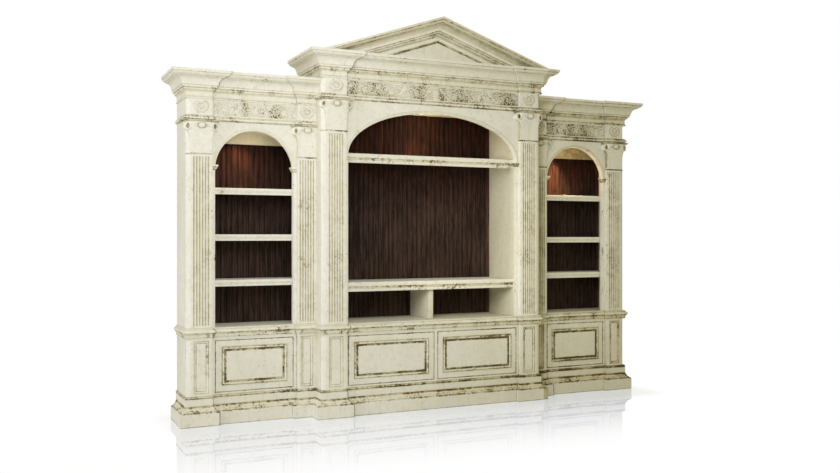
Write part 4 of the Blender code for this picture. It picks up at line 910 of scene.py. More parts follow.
def archBoard(bay, outer, opening, stops, top, face, sizes, side):
    # The opening's edge runs up one side, round half an ellipse and down the other. Each of
    # its points is joined to the board's rim by a ray from the middle of the arch.
    base, roof, back = levels["waistTop"] + gap, top - gap, face + frameThick
    spring, rise = top - sizes["drop"], sizes["rise"]
    lowX, highX = outer
    openLow, openHigh = opening
    middle, half = (openLow + openHigh) / 2, (openHigh - openLow) / 2
    cornerAngles = np.arctan2([roof - spring] * 2, [highX - middle, lowX - middle])
    cornerT = np.arctan2(np.sin(cornerAngles) / rise, np.cos(cornerAngles) / half)
    t = np.sort(np.concatenate([np.linspace(0, np.pi, arch["steps"] + 1), cornerT]))
    arcX, arcZ = middle + half * np.cos(t), spring + rise * np.sin(t)
    rayX, rayZ = arcX - middle, arcZ - spring
    with np.errstate(divide="ignore", invalid="ignore"):
        toSide = np.where(rayX > 0, highX - middle, middle - lowX) / np.abs(rayX)
        toRoof = np.where(rayZ > 1e-9, (roof - spring) / rayZ, np.inf)
    reach = np.minimum(toSide, toRoof)
    rows = arch["footRows"]
    foot = np.linspace(base, spring, rows + 1)[:-1]
    edgeX = np.concatenate([np.full(rows, openHigh), arcX, np.full(rows, openLow)])
    edgeZ = np.concatenate([foot, arcZ, foot[::-1]])
    rimX = np.concatenate([np.full(rows, highX), middle + rayX * reach,
                           np.full(rows, lowX)])
    rimZ = np.concatenate([foot, spring + rayZ * reach, foot[::-1]])
    away = np.column_stack([rimX - edgeX, rimZ - edgeZ])
    far = np.linalg.norm(away, axis=1, keepdims=True)
    away /= far
    # each ring runs over the rounded edge, across the face and back behind it
    ease = arch["easing"]
    near = np.array([0, 0, 0.3, 1, 5, 0, 0, 0]) * ease
    distance = near + np.array([0, 0, 0, 0, 0, 1, 1, 0]) * far
    ring = np.empty((*distance.shape, 3))
    ring[..., 0] = edgeX[:, None] + away[:, :1] * distance
    ring[..., 1] = [back, face + ease, face + 0.3 * ease, face, face, face, back, back]
    ring[..., 2] = edgeZ[:, None] + away[:, 1:] * distance
    shape = Shape()
    shape.grid(ring, [0, 0.42, 0.50, 0.42, 0, 0, 0, 0], around=True, caps=True)
    look, sunk = arch, -arch["sunk"]
    band = moulding(look["bandShares"], look["bandRaise"], look["bandWidth"], look["quirk"],
                    look["bandRadius"], look["bandCalm"])
    band = np.vstack([[sunk, band[0, 1], 0, 0], band, [sunk, band[-1, 1], 0, 0]])
    t = np.linspace(0, np.pi, look["steps"] + 1)[:, None]
    rings = np.empty((len(t), len(band), 3))
    rings[..., 0] = np.clip(middle + (half + band[:, 1]) * np.cos(t), *stops)
    rings[..., 2] = spring + (rise + band[:, 1]) * np.sin(t)
    rings[..., 1] = face - band[:, 0]
    shape.grid(rings, band[:, 2], band[:, 3], around=True, caps=True)
    foot = spring - sizes["impost"]
    head = foot + look["impostHeight"]
    profile = moulding(look["impostShares"], look["impostReach"], look["impostHeight"], foot,
                       marks=((0.0, 1.0, 0.25, 0.0),))
    for path in ([(stops[1], face), (openHigh, face), (openHigh, back)],
                 [(openLow, back), (openLow, face), (stops[0], face)]):
        shape.sweep(path, profile, [(sunk, head), (sunk, foot)], joint=look["impostJoint"])
    shape.build(bay + "_arch_moulded", replaced=(bay + "_arch",), side=side)


for side, sideName in sideNames.items():
    archBoard(sideName, (innerX, bodyHalf), (openings["sideIn"], openings["sideOut"]),
              (innerEdge + gap, outerEdge - gap), levels["sideTop"], sideFace, arch["side"],
              side)
archBoard("centre", (-centreHalf, centreHalf), (-openings["centreOut"], openings["centreOut"]),
          (gap - centreEdge, centreEdge - gap), levels["centreTop"], centreFace,
          arch["centre"], 1)
print("arches done")


# Pilasters

shaft = {
    "flutes": 6, "radius": 0.0062, "pitch": 0.0198, "start": 0.015, "topMargin": 0.019,
    "easing": 0.0012, "arris": 0.0009, "arrisWidth": 0.0012, "arrisWear": 0.45,
    "edgeWear": 0.4, "fluteGlaze": 0.85, "footGlaze": 0.9, "footLine": 0.0035,
    "margin": 0.001, "tenon": 0.006, "neckHeight": 0.009, "neckReach": 0.004,
    "neckShares": ((0.0, 0.0), (0.70, 0.12), (1.0, 0.40), (1.0, 0.60), (0.70, 0.88),
                   (0.0, 1.0)),
    "neckRadius": 0.0008, "neckSunk": 0.002, "neckMarks": ((0.7556, 1.0, 0.3, 1.0),),
}
capital = {
    "height": 0.228, "flare": 0.046, "scroll": 0.029, "proud": 0.005, "hole": 0.0130,
    "holeDepth": 0.014, "lean": 0.002, "cant": 0.40, "bellReach": 0.024,
}
bell = {
    "columns": 97, "eggWidth": 0.056, "eggHeight": 0.040, "eggReach": 0.009, "eggDown": 0.56,
    "eggLeast": 0.0015, "eggRim": 0.82, "frameHeight": 0.0050, "frameAt": 1.08,
    "frameWide": 0.16, "rise": 0.0026, "swagLow": 0.018, "swagSag": 0.026,
    "swagEdge": 0.0025, "pit": 0.012, "leafOff": 0.008,
    # leaves from the egg to each scroll: turn in degrees, length, half-width, height
    "leaves": ((48, 0.020, 0.0034, 0.0022), (20, 0.024, 0.0034, 0.0022)),
    "sideShares": ((0.0, 0.02), (0.46, 0.02), (0.56, 0.07), (0.66, 0.20), (0.76, 0.45),
                   (0.86, 0.62), (1.0, 0.62)),
    "frontShares": ((0.0, 0.10), (0.30, 0.16), (0.52, 0.26), (0.70, 0.46), (0.84, 0.80),
                    (0.93, 1.0), (1.0, 1.0)),
}
scrolls = {
    "steps": 64, "bandSteps": 19, "bandShare": 0.97, "bandDepth": 0.006, "groove": 0.003,
    "bead": 0.001, "holeRadii": (0.04, 0.5, 0.9, 0.99, 1.0),
    "holeDepths": (1.0, 1.0, 0.96, 0.80, 0.25),
    # the spool behind: share of the scroll's radius, then of the depth to the wall
    "spool": ((1.0, 0.0), (1.0, 0.10), (0.90, 0.22), (0.84, 0.45), (0.84, 0.70),
              (0.92, 0.86), (0.94, 1.0)),
}
abacus = {
    "height": 0.013, "proud": 0.003, "reach": 0.005, "thick": 0.020, "radius": 0.0008,
    "shares": ((-0.6, 0.0), (-0.5, 0.12), (0.0, 0.30), (0.35, 0.42), (0.40, 0.56),
               (1.0, 0.62), (1.0, 1.0)),
}


def flutedShaft(shape, low, flatHigh, high, front, back, base, head, neck):
    # Rows up the shaft, columns round it. In a flute the face sinks by
    # sqrt(radius^2 - across^2 - beyond^2), beyond being how far a row is past its straight.
    look = shaft
    radius = look["radius"]
    middle = (low + flatHigh) / 2
    centres = middle + (np.arange(look["flutes"]) - (look["flutes"] - 1) / 2) * look["pitch"]
    span = radius * np.sin(np.linspace(-np.pi / 2, np.pi / 2, 11))
    edge = radius + look["arris"]
    span = np.concatenate([[-edge], span, [edge]])
    across = (centres[:, None] + span).ravel()
    ease = look["easing"]
    frontX = np.concatenate([[low, low + 0.3 * ease, low + ease], across])
    frontY = np.concatenate([[front + ease, front + 0.3 * ease, front],
                             np.full(len(across), front)])
    if flatHigh < high:
        slant = np.array([1.0, 4.0, 12.0, 17.0, 20.1]) * ease
        cornerX = [flatHigh - ease, *(flatHigh + slant), high]
        cornerY = [front, *(front + slant), front + chamfer + ease]
        cornerWear = [0, 0.5, 0, 0, 0, 0.5, 0.3]
    else:
        cornerX = [high - ease, high - 0.3 * ease, high]
        cornerY = [front, front + 0.3 * ease, front + ease]
        cornerWear = [0, 0.5, 0]
    loopX = np.concatenate([[low], frontX, cornerX, [high]])
    loopY = np.concatenate([[back], frontY, cornerY, [back]])
    lowEnd, highEnd = base + look["start"], neck - look["topMargin"]
    bend = radius * (1 - np.cos(np.linspace(0, np.pi / 2, 8)))
    straight = np.linspace(lowEnd + radius, highEnd - radius, 12)[1:-1]
    rows = np.concatenate([
        [base, base + look["footLine"], lowEnd - look["margin"]], lowEnd + bend, straight,
        (highEnd - bend)[::-1], [highEnd + look["margin"], head]])
    beyond = np.maximum(np.maximum(lowEnd + radius - rows, rows - highEnd + radius), 0)
    offset = np.full(len(loopX), 1.0)
    offset[4:4 + len(across)] = np.tile(span, look["flutes"])
    sunk = np.sqrt(np.maximum(radius ** 2 - offset ** 2 - beyond[:, None] ** 2, 0))
    rings = np.empty((len(rows), len(loopX), 3))
    rings[..., 0], rings[..., 1] = loopX, loopY + sunk
    rings[..., 2] = rows[:, None]
    arris = (look["arrisWear"] * (beyond < radius)[:, None]
             * np.exp(-((np.abs(offset) - radius) / look["arrisWidth"]) ** 2))
    corner = np.zeros(len(loopX))
    corner[1:4] = look["edgeWear"]
    corner[-len(cornerX) - 1:-1] = cornerWear
    glaze = np.clip((sunk / radius) ** 2.4, 0, 1) * look["fluteGlaze"]
    glaze[0] = look["footGlaze"]
    shape.grid(rings[:, ::-1], np.maximum(arris, corner)[:, ::-1], glaze[:, ::-1],
               around=True, caps=True)


def lobe(x, z, root, tip, width, height):
    # a leaf lobe: its half-width is width * sin(pi * along^0.75) and its height falls to
    # its edge as a half ellipse, with a groove down the middle
    root, tip = np.array(root), np.array(tip)
    axis = tip - root
    long = np.linalg.norm(axis)
    axis = axis / long
    along = ((x - root[0]) * axis[0] + (z - root[1]) * axis[1]) / long
    across = -(x - root[0]) * axis[1] + (z - root[1]) * axis[0]
    halfWide = width * np.sin(np.pi * np.clip(along, 0, 1) ** 0.75) + 1e-9
    inside = np.clip(1 - (across / halfWide) ** 2, 0, 1)
    vein = 0.62 + 0.38 * np.clip(np.abs(across) / (0.30 * width), 0, 1)
    return height * np.sqrt(inside) * vein * (halfWide > 1e-6)


def ridge(x, z, curve, width, height):
    # a rounded strand: height * sqrt(1 - (distance / width)^2) over a curve's points
    away = ((x[..., None] - curve[:, 0]) ** 2 + (z[..., None] - curve[:, 1]) ** 2)
    rise = height * np.sqrt(np.clip(1 - away / np.broadcast_to(width, len(curve)) ** 2,
                                    0, 1))
    return rise.max(axis=-1)


def dome(x, z, place, radius, height):
    away = ((x - place[0]) / radius) ** 2 + ((z - place[1]) / radius) ** 2
    return height * np.sqrt(np.clip(1 - away, 0, 1))


def crevice(height, reach=2, glazeGain=1400, wearGain=1000):
    # glaze gathers where the carving is lower than the mean round it, wear where higher
    rows, columns = height.shape
    total = np.zeros_like(height)
    padded = np.pad(height, reach, mode="edge")
    for down in range(2 * reach + 1):
        for over in range(2 * reach + 1):
            total += padded[down:down + rows, over:over + columns]
    lower = total / (2 * reach + 1) ** 2 - height
    return np.clip(lower * glazeGain, 0, 1), np.clip(-lower * wearGain, 0, 1)


def bellOn(shape, centre, half, front, wall, base, top):
    # the flaring face between the scrolls, with an egg, a hanging line and leaves
    look, tall = bell, top - base
    scroll = capital["scroll"]
    scrollX, scrollZ = half + capital["flare"] - scroll, top - scroll
    rows = np.concatenate([[0, 0.018], np.linspace(0.06, 0.44, 5),
                           np.linspace(0.46, 1.0, 48)])
    sides = np.interp(rows, *np.array(look["sideShares"]).T)
    lip = np.interp(rows, *np.array(look["frontShares"]).T)
    halfWide = (half + capital["flare"] * sides)[:, None]
    x = centre + halfWide * np.linspace(-1, 1, look["columns"])
    z = np.broadcast_to((base + tall * rows)[:, None], x.shape)
    face = front - capital["bellReach"] * lip[:, None] + np.zeros_like(x)
    # the bell turns outward behind the scrolls, which face the corners
    outward = np.clip(np.abs(x - centre) - (scrollX - scroll), 0, None)
    face += capital["cant"] * outward * np.clip((z - scrollZ) / (0.6 * scroll) + 2.7, 0, 1)
    # The egg is (|across|^3 + |up|^3) < 1 inside a thin frame. Above the hanging line the
    # bell stands a little proud, and a leaf leans from the egg towards each scroll.
    eggHalf, eggTall = look["eggWidth"] / 2, look["eggHeight"] / 2
    eggZ = top - look["eggHeight"] * look["eggDown"]
    round3 = (np.abs((x - centre) / eggHalf) ** 3
              + np.abs((z - eggZ) / eggTall) ** 3) ** (1 / 3)
    egg = look["eggLeast"] + look["eggReach"] * np.sqrt(
        np.clip(1 - (round3 / look["eggRim"]) ** 2, 0, 1))
    frame = look["frameHeight"] * np.clip(
        1 - np.abs(round3 - look["frameAt"]) / look["frameWide"], 0, 1) ** 0.6
    across = np.clip((x - centre) / halfWide, -1, 1)
    swag = scrollZ - look["swagLow"] - look["swagSag"] * (1 - across ** 2)
    high = look["rise"] * np.clip((z - swag) / look["swagEdge"], 0, 1)
    for sign in (-1, 1):
        root = np.array([centre + sign * (eggHalf + look["leafOff"]), eggZ - look["leafOff"]])
        for turn, *size in look["leaves"]:
            turn = math.radians(turn)
            tip = root + size[0] * np.array([sign * math.cos(turn), math.sin(turn)])
            high = np.maximum(high, look["rise"] + lobe(x, z, root, tip, *size[1:]))
    high = np.where(round3 < 0.86, egg, np.where(
        round3 < 1.24, np.maximum(frame, high * (round3 > 1.0)), high))
    # glaze round the egg but for its top and along the foot; down both edges a dark line that
    # is glaze with painted shade of the bell's sides
    glaze, wear = crevice(high)
    outline = (np.clip(1.8 - np.abs(round3 - 0.93) / 0.10, 0, 1)
               * np.clip((eggZ + 0.42 * look["eggHeight"] - z) / 0.004, 0, 1))
    glaze, wear = np.maximum(glaze * 0.9, outline), np.maximum(wear, 2.0 * outline)
    glaze = np.maximum(glaze, 0.95 * np.clip(1 - (z - base) / 0.004, 0, 1))
    rim = np.clip((np.abs(across) - 0.955) / 0.03, 0, 1) * (tall * rows[:, None] > 0.004)
    glaze = np.maximum(glaze, 0.45 * rim)
    high = high * np.clip((0.985 - np.abs(across)) / 0.04, 0, 1)
    for sign in (-1, 1):
        # a pit behind each scroll's hole, painted full glaze and chip brown as the hollow's
        # painted shade with its glaze
        wide, up = capital["hole"] * 0.95, capital["hole"] * 1.40
        pit = np.hypot((x - centre - sign * (scrollX - capital["lean"])) / wide,
                       (z - scrollZ) / up) < 1
        high, glaze = np.where(pit, -look["pit"], high), np.where(pit, 1.0, glaze)
        wear = np.where(pit, 1.8, wear)
    ring = np.empty((len(rows), x.shape[1] + 2, 3))
    ring[..., 0] = np.hstack([x[:, :1], x, x[:, -1:]])
    ring[..., 1] = np.pad(face - high, ((0, 0), (1, 1)), constant_values=wall)
    ring[..., 2] = z[:, :1]
    # the sides back to the wall carry an even painted shade of glaze
    shape.grid(ring[:, ::-1], np.pad(wear * 0.4, ((0, 0), (1, 1)))[:, ::-1],
               np.pad(glaze, ((0, 0), (1, 1)), constant_values=0.4)[:, ::-1],
               around=True, caps=True)


def scrollsOn(shape, centre, half, front, wall, top):
    # A spool whose front is a rounded band curling once round a dark hole, which is taller
    # than it is wide. Rings run from the wall to the front, then in to the middle.
    look = scrolls
    scroll, hole, steps = capital["scroll"], capital["hole"], look["steps"]
    scrollX, scrollZ = half + capital["flare"] - scroll, top - scroll
    face = front - capital["bellReach"] - capital["proud"]
    angle = 2 * np.pi * np.arange(steps) / steps
    t = np.linspace(0, np.pi, look["bandSteps"])
    outside = scroll * look["bandShare"]
    middle, halfBand = (hole + outside) / 2, (outside - hole) / 2
    radius = np.concatenate([np.array(look["holeRadii"]) * hole, middle - halfBand * np.cos(t)])
    sunk = np.concatenate([np.array(look["holeDepths"]) * capital["holeDepth"],
                           look["bandDepth"] * (1 - np.sin(t) ** 0.8)])
    spool, at = np.array(look["spool"]), np.linspace(0, 1, 22)
    spoolR = scroll * np.interp(at, spool[:, 1], spool[:, 0])
    spoolR += look["bead"] * (np.abs(at - 0.55) < 0.12)
    spoolY = face + look["bandDepth"] + (wall - face - look["bandDepth"]) * at
    plain = np.ones(len(at))
    # towards the hole the rings grow narrower and taller and lean outward
    wide, high, lean = (
        np.append(outer, np.interp(radius, [hole, scroll], inner)[::-1])[:, None]
        for outer, inner in ((plain, [0.80, 1.0]), (plain, [1.30, 1.0]),
                             (0 * plain, [capital["lean"], 0])))
    allR = np.concatenate([spoolR[::-1], radius[::-1]])[:, None]
    turned = np.concatenate([1 - at[::-1], np.ones(len(radius))])[:, None]
    inHole = (sunk > 0.005) & (radius < hole * 1.05)
    onBand = (radius > hole * 1.15) & (radius < scroll * 0.92)
    for sign in (-1, 1):
        curl = ((radius[:, None] - middle) / (2 * halfBand)
                + sign * (angle - 0.6) / (2 * np.pi)) % 1
        groove = np.exp(-((curl - 0.5) / 0.07) ** 2) * onBand[:, None]
        x = centre + sign * (scrollX - lean) + allR * wide * np.cos(angle)
        y = np.vstack([np.broadcast_to(spoolY[::-1, None], (len(at), steps)),
                       (face + sunk[:, None] + look["groove"] * groove)[::-1]])
        y = y + capital["cant"] * turned * (sign * (x - centre) - scrollX + scroll)
        wear, glaze = np.zeros((2, *y.shape))
        # the hole is painted dark with glaze and chip brown, as its painted shade with glaze
        dark = inHole[:, None] * 1.0
        wear[len(at):] = np.maximum(0.8 * dark, 0.30)[::-1]
        glaze[len(at):] = np.maximum(dark, groove * 0.9)[::-1]
        points = np.stack([x, y, scrollZ + allR * high * np.sin(angle)], -1)
        shape.grid(points[:, ::-1], wear[:, ::-1], glaze[:, ::-1], around=True, caps=True)


def abacusOn(shape, centre, half, front, wall, base, top):
    # a moulded edge swept round a slab, over all
    look = abacus
    reach, thick = look["reach"], look["thick"]
    slab = half + capital["flare"] - reach
    face = front - capital["bellReach"] - capital["proud"] - look["proud"] + reach
    profile = moulding(look["shares"], reach, look["height"], base, look["radius"])
    path = [(centre + slab, wall), (centre + slab, face), (centre - slab, face),
            (centre - slab, wall)]
    shape.sweep(path, profile, [(-thick, top), (-thick, base)])
    core = slab - thick + 0.001
    shape.box((centre - core, centre + core), (face + thick - 0.002, wall), (base, top))


def pilaster(node, low, high, face, top, flat, clipped, side):
    look = shaft
    front, wall, flatHigh = face - relief, face - gap, high - flat
    base, head = levels["waistTop"] + gap, top - gap
    neck = top - capital["height"]
    foot = neck - look["neckHeight"]
    shape = Shape()
    flutedShaft(shape, low, flatHigh, high, front, wall, base, head - look["tenon"], neck)
    bead = moulding(look["neckShares"], look["neckReach"], look["neckHeight"], foot,
                    look["neckRadius"], marks=look["neckMarks"])
    path = [(high, wall), (high, front + flat), (flatHigh, front), (low, front), (low, wall)]
    if not flat:
        path.pop(2)
    shape.sweep(path, bead, [(-look["neckSunk"], neck), (-look["neckSunk"], foot)])
    centre, half = (low + flatHigh) / 2, (flatHigh - low) / 2
    bellTop = head - abacus["height"]
    bellOn(shape, centre, half, front, wall, neck, bellTop)
    scrollsOn(shape, centre, half, front, wall, bellTop)
    abacusOn(shape, centre, half, front, wall, bellTop, head)
    shape.build(node + "_carved", replaced=(node,), side=side, clip=low if clipped else None)


for side, sideName in sideNames.items():
    pilaster(sideName + "_outer_pilaster", outerEdge, bodyHalf, sideFace, levels["sideTop"],
             chamfer, False, side)
    pilaster(sideName + "_inner_pilaster", innerX, innerEdge, sideFace, levels["sideTop"],
             0, True, side)
    pilaster("centre_" + sideName + "_pilaster", centreEdge, centreHalf, centreFace,
             levels["centreTop"], chamfer, False, side)
print("pilasters done")


# Entablatures

crown = {
    "architrave": 0.037, "frieze": 0.110, "cornice": 0.187, "architraveReach": 0.0157,
    "corniceReach": 0.111, "board": 0.022, "lid": 0.018,
    "architraveShares": (
        (0.30, 0.00), (0.30, 0.18), (0.92, 0.24), (1.00, 0.34), (1.00, 0.58),
        (0.60, 0.64), (0.55, 0.80), (0.25, 0.84), (0.22, 1.00)),
    "corniceShares": (
        (0.07, 0.000), (0.09, 0.015), (0.09, 0.050), (0.03, 0.070), (0.03, 0.250),
        (0.06, 0.285), (0.12, 0.305), (0.19, 0.320), (0.19, 0.385), (0.29, 0.400),
        (0.29, 0.470), (0.345, 0.485), (0.36, 0.540), (0.385, 0.600), (0.43, 0.660),
        (0.50, 0.712), (0.59, 0.748), (0.72, 0.765), (0.73, 0.785), (0.80, 0.800),
        (0.88, 0.825), (0.93, 0.860), (0.94, 0.890), (1.00, 0.900), (1.00, 1.000)),
    "architraveCalm": 0.6, "corniceCalm": 0.48,
    "architraveMarks": ((0.0, 0.1622, 0.5, 0.4), (0.0, 1.0, 0.25, 0.0)),
    # cornice marks: chips on the low bands, then painted shade as glaze under the top fillet
    # and on the cyma
    "corniceMarks": ((0.0, 0.42, 0.32, 0.14), (0.76, 0.90, 0.05, 0.06),
                     (0.50, 0.74, 0.0, 0.10)),
}
carving = {
    "spacing": 0.0016, "period": 0.210, "relief": 0.90, "margin": 0.006, "rebate": 0.002,
    "blockInset": 0.006, "stripMargin": 0.004, "fadeRim": 0.004, "rim": 0.006,
    "centreShift": 0.05, "rosette": 0.040, "wreathWide": 0.038, "wreathTall": 0.030,
    # below "bare" the ground shows, above "deep" a hollow; then the wear of hollows, bare
    # ground and leaves, and how much wear and glaze the wax adds
    "bare": 0.0006, "deep": 0.45, "wear": (0.62, 0.46, 0.1), "wax": (0.75, 0.85, 0.25),
    # how dark each bay's frieze is: its dirt, and on the right a painted shade away from the
    # lamps
    "dirtAndSideShade": {-1: 0.80, 0: 0.85, 1: 1.35},
    # where dark wax has gathered along each strip, and how far it reaches
    "waxed": {-1: ((0.62, 0.03), (0.24, 0.05)),
              0: ((0.03, 0.025), (0.15, 0.05), (0.40, 0.03), (0.54, 0.015),
                  (0.66, 0.05), (0.93, 0.045)),
              1: ((0.10, 0.05), (0.42, 0.05), (0.63, 0.05))},
}
friezeTall = crown["frieze"] - 2 * carving["margin"]
# each kind of leaf: length, half-width and height, without a length where it varies
leaves = {
    "petal": (0.0125, 0.0042, 0.0060), "outer": (0.017, 0.0048, 0.0062),
    "inner": (0.011, 0.0032, 0.0050), "filling": (0.0125, 0.0044, 0.0044),
    "fan": (0.0055, 0.0066), "spray": (0.0050, 0.0064), "palmette": (0.0046, 0.0070),
}


def withLeaf(field, x, z, root, angle, size, flip=1):
    # the greater of a field and a leaf that leaves its root at an angle
    long, wide, tall = size
    tip = root + long * np.array([math.cos(angle), flip * math.sin(angle)])
    return np.maximum(field, lobe(x, z, root, tip, wide, tall))


def rinceauTile(period, heightZ, spacing):
    # One period of a running scroll: a wave whose bends each curl into a rosette, with
    # leaves in the corners between the curls. The field is the greatest of all its forms.
    across = max(8, int(round(period / spacing)))
    down = int(round(heightZ / spacing)) + 1
    x, z = np.meshgrid(np.arange(across) * period / across,
                       np.linspace(-heightZ / 2, heightZ / 2, down))
    field = np.zeros_like(x)
    reach, tightening, start = heightZ * 0.39, -0.155, math.radians(200)
    for shift in (-period, 0, period):
        for part, flip in ((0.25, 1), (0.75, -1)):
            mid = np.array([period * part + shift, -flip * 0.002])
            turn = np.linspace(0, 2.6 * np.pi, 190)
            radius = reach * np.exp(tightening * turn)
            curve = mid + np.column_stack([radius * np.cos(start - turn),
                                           flip * radius * np.sin(start - turn)])
            thick = np.interp(turn, [0, 2, 8], [0.0034, 0.0036, 0.0018])
            field = np.maximum(field, ridge(x, z, curve, thick, 0.0056))
            for petal in range(6):
                field = withLeaf(field, x, z, mid, petal * math.pi / 3 + 0.3, leaves["petal"])
            field = np.maximum(field, dome(x, z, mid, 0.0034, 0.0075))
            for leaf in range(9):
                # leaves along the outer turn, pointing back along it
                turned = 0.5 + leaf * 0.62
                angle, ring = start - turned, reach * math.exp(tightening * turned)
                root = mid + ring * np.array([math.cos(angle), flip * math.sin(angle)])
                for lean, kind in ((0.95, "outer"), (2.4, "inner")):
                    field = withLeaf(field, x, z, root, angle + lean, leaves[kind], flip)
        for part, flip in ((0.0, -1), (0.5, 1)):
            root = np.array([period * part + shift, flip * heightZ * 0.05])
            for lean in (-66, -44, -22, 0, 22, 44, 66):
                size = (0.043 - 0.00024 * abs(lean), *leaves["fan"])
                field = withLeaf(field, x, z, root, math.radians(90 + lean), size, flip)
            field = np.maximum(field, dome(x, z, root, 0.0060, 0.0062))
    # small leaves fill the bare ground
    random = np.random.default_rng(7)
    long, wide, tall = leaves["filling"]
    for place in random.uniform((0, -heightZ * 0.46), (period, heightZ * 0.46), (260, 2)):
        angle = random.uniform(0, 2 * np.pi)
        column = int(place[0] / period * across) % across
        row = int((place[1] / heightZ + 0.5) * (down - 1))
        if field[row, column] < 0.0012:
            reach = long * np.array([math.cos(angle), math.sin(angle)])
            for shift in (-period, 0, period):
                root = place + (shift, 0)
                field = np.maximum(field, lobe(x, z, root - reach / 2, root + reach / 2,
                                               wide, tall))
    return field


def rosette(x, z, place, radius):
    # two rings of eight petals round a boss, the inner ring turned by half a petal
    field = dome(x, z, place, radius * 0.22, 0.0095)
    for share, wide, tall, turn in ((1.0, 0.24, 0.0068, 0), (0.62, 0.20, 0.0084, 0.5)):
        for petal in range(8):
            field = withLeaf(field, x, z, place, (petal + turn) * math.pi / 4,
                             (radius * share, radius * wide, tall))
    return field


def wreath(x, z, place, wide, tall):
    # two sprays of overlapping leaves rise from a knot and stay open at the top, with a
    # palmette between them and two tassels below
    field = np.zeros_like(x)
    t = np.linspace(0, 1, 50)
    for sign in (-1, 1):
        for leaf in range(9):
            angle = math.radians(-90 + sign * (6 + leaf * 16.5))
            out = np.array([math.cos(angle), math.sin(angle)])
            along = sign * np.array([-out[1], out[0]])
            root = place + out * (wide, tall)
            for lean in (0.8, 0.05, -0.75):
                tip = root + 0.0165 * (along * 0.85 + out * lean)
                field = np.maximum(field, lobe(x, z, root, tip, *leaves["spray"]))
        tassel = np.column_stack([sign * (0.003 + 0.018 * t), -tall - 0.004 - 0.010 * t])
        field = np.maximum(field, ridge(x, z, place + tassel, 0.0036, 0.0048))
    for lean in (-74, -48, -24, 0, 24, 48, 74):
        angle = math.radians(90 + lean)
        root = place - (0, tall * 0.35)
        tip = root + (0.042 - 0.00022 * abs(lean)) * np.array(
            [math.cos(angle) * 0.62, math.sin(angle)])
        field = np.maximum(field, lobe(x, z, root, tip, *leaves["palmette"]))
    return np.maximum(field, dome(x, z, place - (0, tall), 0.0060, 0.0070))


friezeTile = rinceauTile(carving["period"], friezeTall, carving["spacing"])

def friezeStrip(shape, lowX, highX, ground, base, dirtAndSideShade, waxed, centred=False):
    # the running scroll repeated along a strip, faded out to its rim
    look = carving
    down, tileAcross = friezeTile.shape
    z = base + look["margin"] + np.linspace(0, friezeTall, down)
    x = np.linspace(lowX, highX, int(round((highX - lowX) / look["spacing"])) + 1)
    middle = (lowX + highX) / 2
    offset = np.abs(x - middle) + look["centreShift"] if centred else x - middle
    column = np.round(offset / look["period"] * tileAcross).astype(int)
    field = friezeTile[:, column % tileAcross]
    fx, fz = np.meshgrid(x, z)
    if centred:
        spot, radius = np.array([middle, z.mean()]), look["rosette"]
        near = np.hypot(fx - spot[0], fz - spot[1])
        field = field * np.clip((near - radius) / look["rim"], 0, 1)
        field = np.maximum(field, rosette(fx, fz, spot, radius))
    ends = np.minimum(fx - lowX, highX - fx)
    rim = np.minimum(ends, np.minimum(fz - z[0], z[-1] - fz))
    field = field * np.clip(rim / look["fadeRim"], 0, 1) * look["relief"]
    glaze = crevice(field)[0]
    bare, deep = field < look["bare"], glaze > look["deep"]
    hollow, (deepWear, bareWear, leafWear) = bare | deep, look["wear"]
    waxWear, waxGlaze, leafGlaze = look["wax"]
    # the glaze near the strip's ends is painted shade where the strip meets the blocks
    glaze = np.maximum(np.where(bare, np.maximum(glaze * 0.6, 0.05), glaze * 0.45),
                       0.8 * np.clip(1 - ends / look["rim"], 0, 1))
    along = (x - lowX) / (highX - lowX)
    wax = np.max([np.exp(-0.5 * ((along - place) / reach) ** 2) for place, reach in waxed],
                 axis=0)
    shape.carved(x, z, field + 0.0005, ground, ground + look["rebate"],
                 np.where(deep, deepWear, np.where(bare, bareWear, leafWear)) * dirtAndSideShade
                 + np.where(hollow, waxWear, 0) * wax,
                 glaze * dirtAndSideShade + np.where(hollow, waxGlaze, leafGlaze) * wax)


def friezeBlock(shape, lowX, highX, ground, base):
    # one wreath over a pilaster
    look = carving
    lowX, highX = lowX + look["blockInset"], highX - look["blockInset"]
    z = base + look["margin"] + np.linspace(0, friezeTall, friezeTile.shape[0])
    x = np.linspace(lowX, highX, int(round((highX - lowX) / look["spacing"])) + 1)
    fx, fz = np.meshgrid(x, z)
    place = np.array([x.mean(), z.mean() + 0.005])
    wide = min(look["wreathWide"], (highX - lowX) * 0.29)
    field = wreath(fx, fz, place, wide, look["wreathTall"]) * look["relief"]
    glaze, wear = crevice(field)
    shape.carved(x, z, field + 0.0004, ground, ground + look["rebate"],
                 0.2 * wear + 0.6 * (glaze > 0.3), 0.62 * glaze)


def withFlat(path, index):
    # the corner at an index of the path cut back by the chamfer on both sides
    corner, before, after = (np.array(path[place]) for place in (index, index - 1, index + 1))
    first, last = (tuple(corner + (end - corner) / np.linalg.norm(end - corner) * chamfer)
                   for end in (before, after))
    return path[:index] + [first, last] + path[index + 1:]


def entablature(path, closing, flats, lid, corner, toward, base, joint):
    # architrave, frieze and crown swept round a bay, with a lid and rails behind them
    look, board = crown, crown["board"]
    frieze = base + look["architrave"]
    bed = frieze + look["frieze"]
    top = bed + look["cornice"]
    shape = Shape()
    for title, low, high in (("architrave", base, frieze), ("cornice", bed, top)):
        profile = moulding(look[title + "Shares"], look[title + "Reach"], high - low, low,
                           calm=look[title + "Calm"], marks=look[title + "Marks"])
        shape.sweep(path, profile, [(-board, high), (-board, low)], joint=joint)
    core = path + closing
    for index in flats:
        core = withFlat(core, index)
    shape.prism(core, frieze, bed)
    shape.prism(lid, top - look["lid"], top)
    for low, high in ((base, frieze), (bed, top - look["lid"])):
        shape.box((toward, corner - board), (backY - board, backY), (low, high))
    return shape, frieze


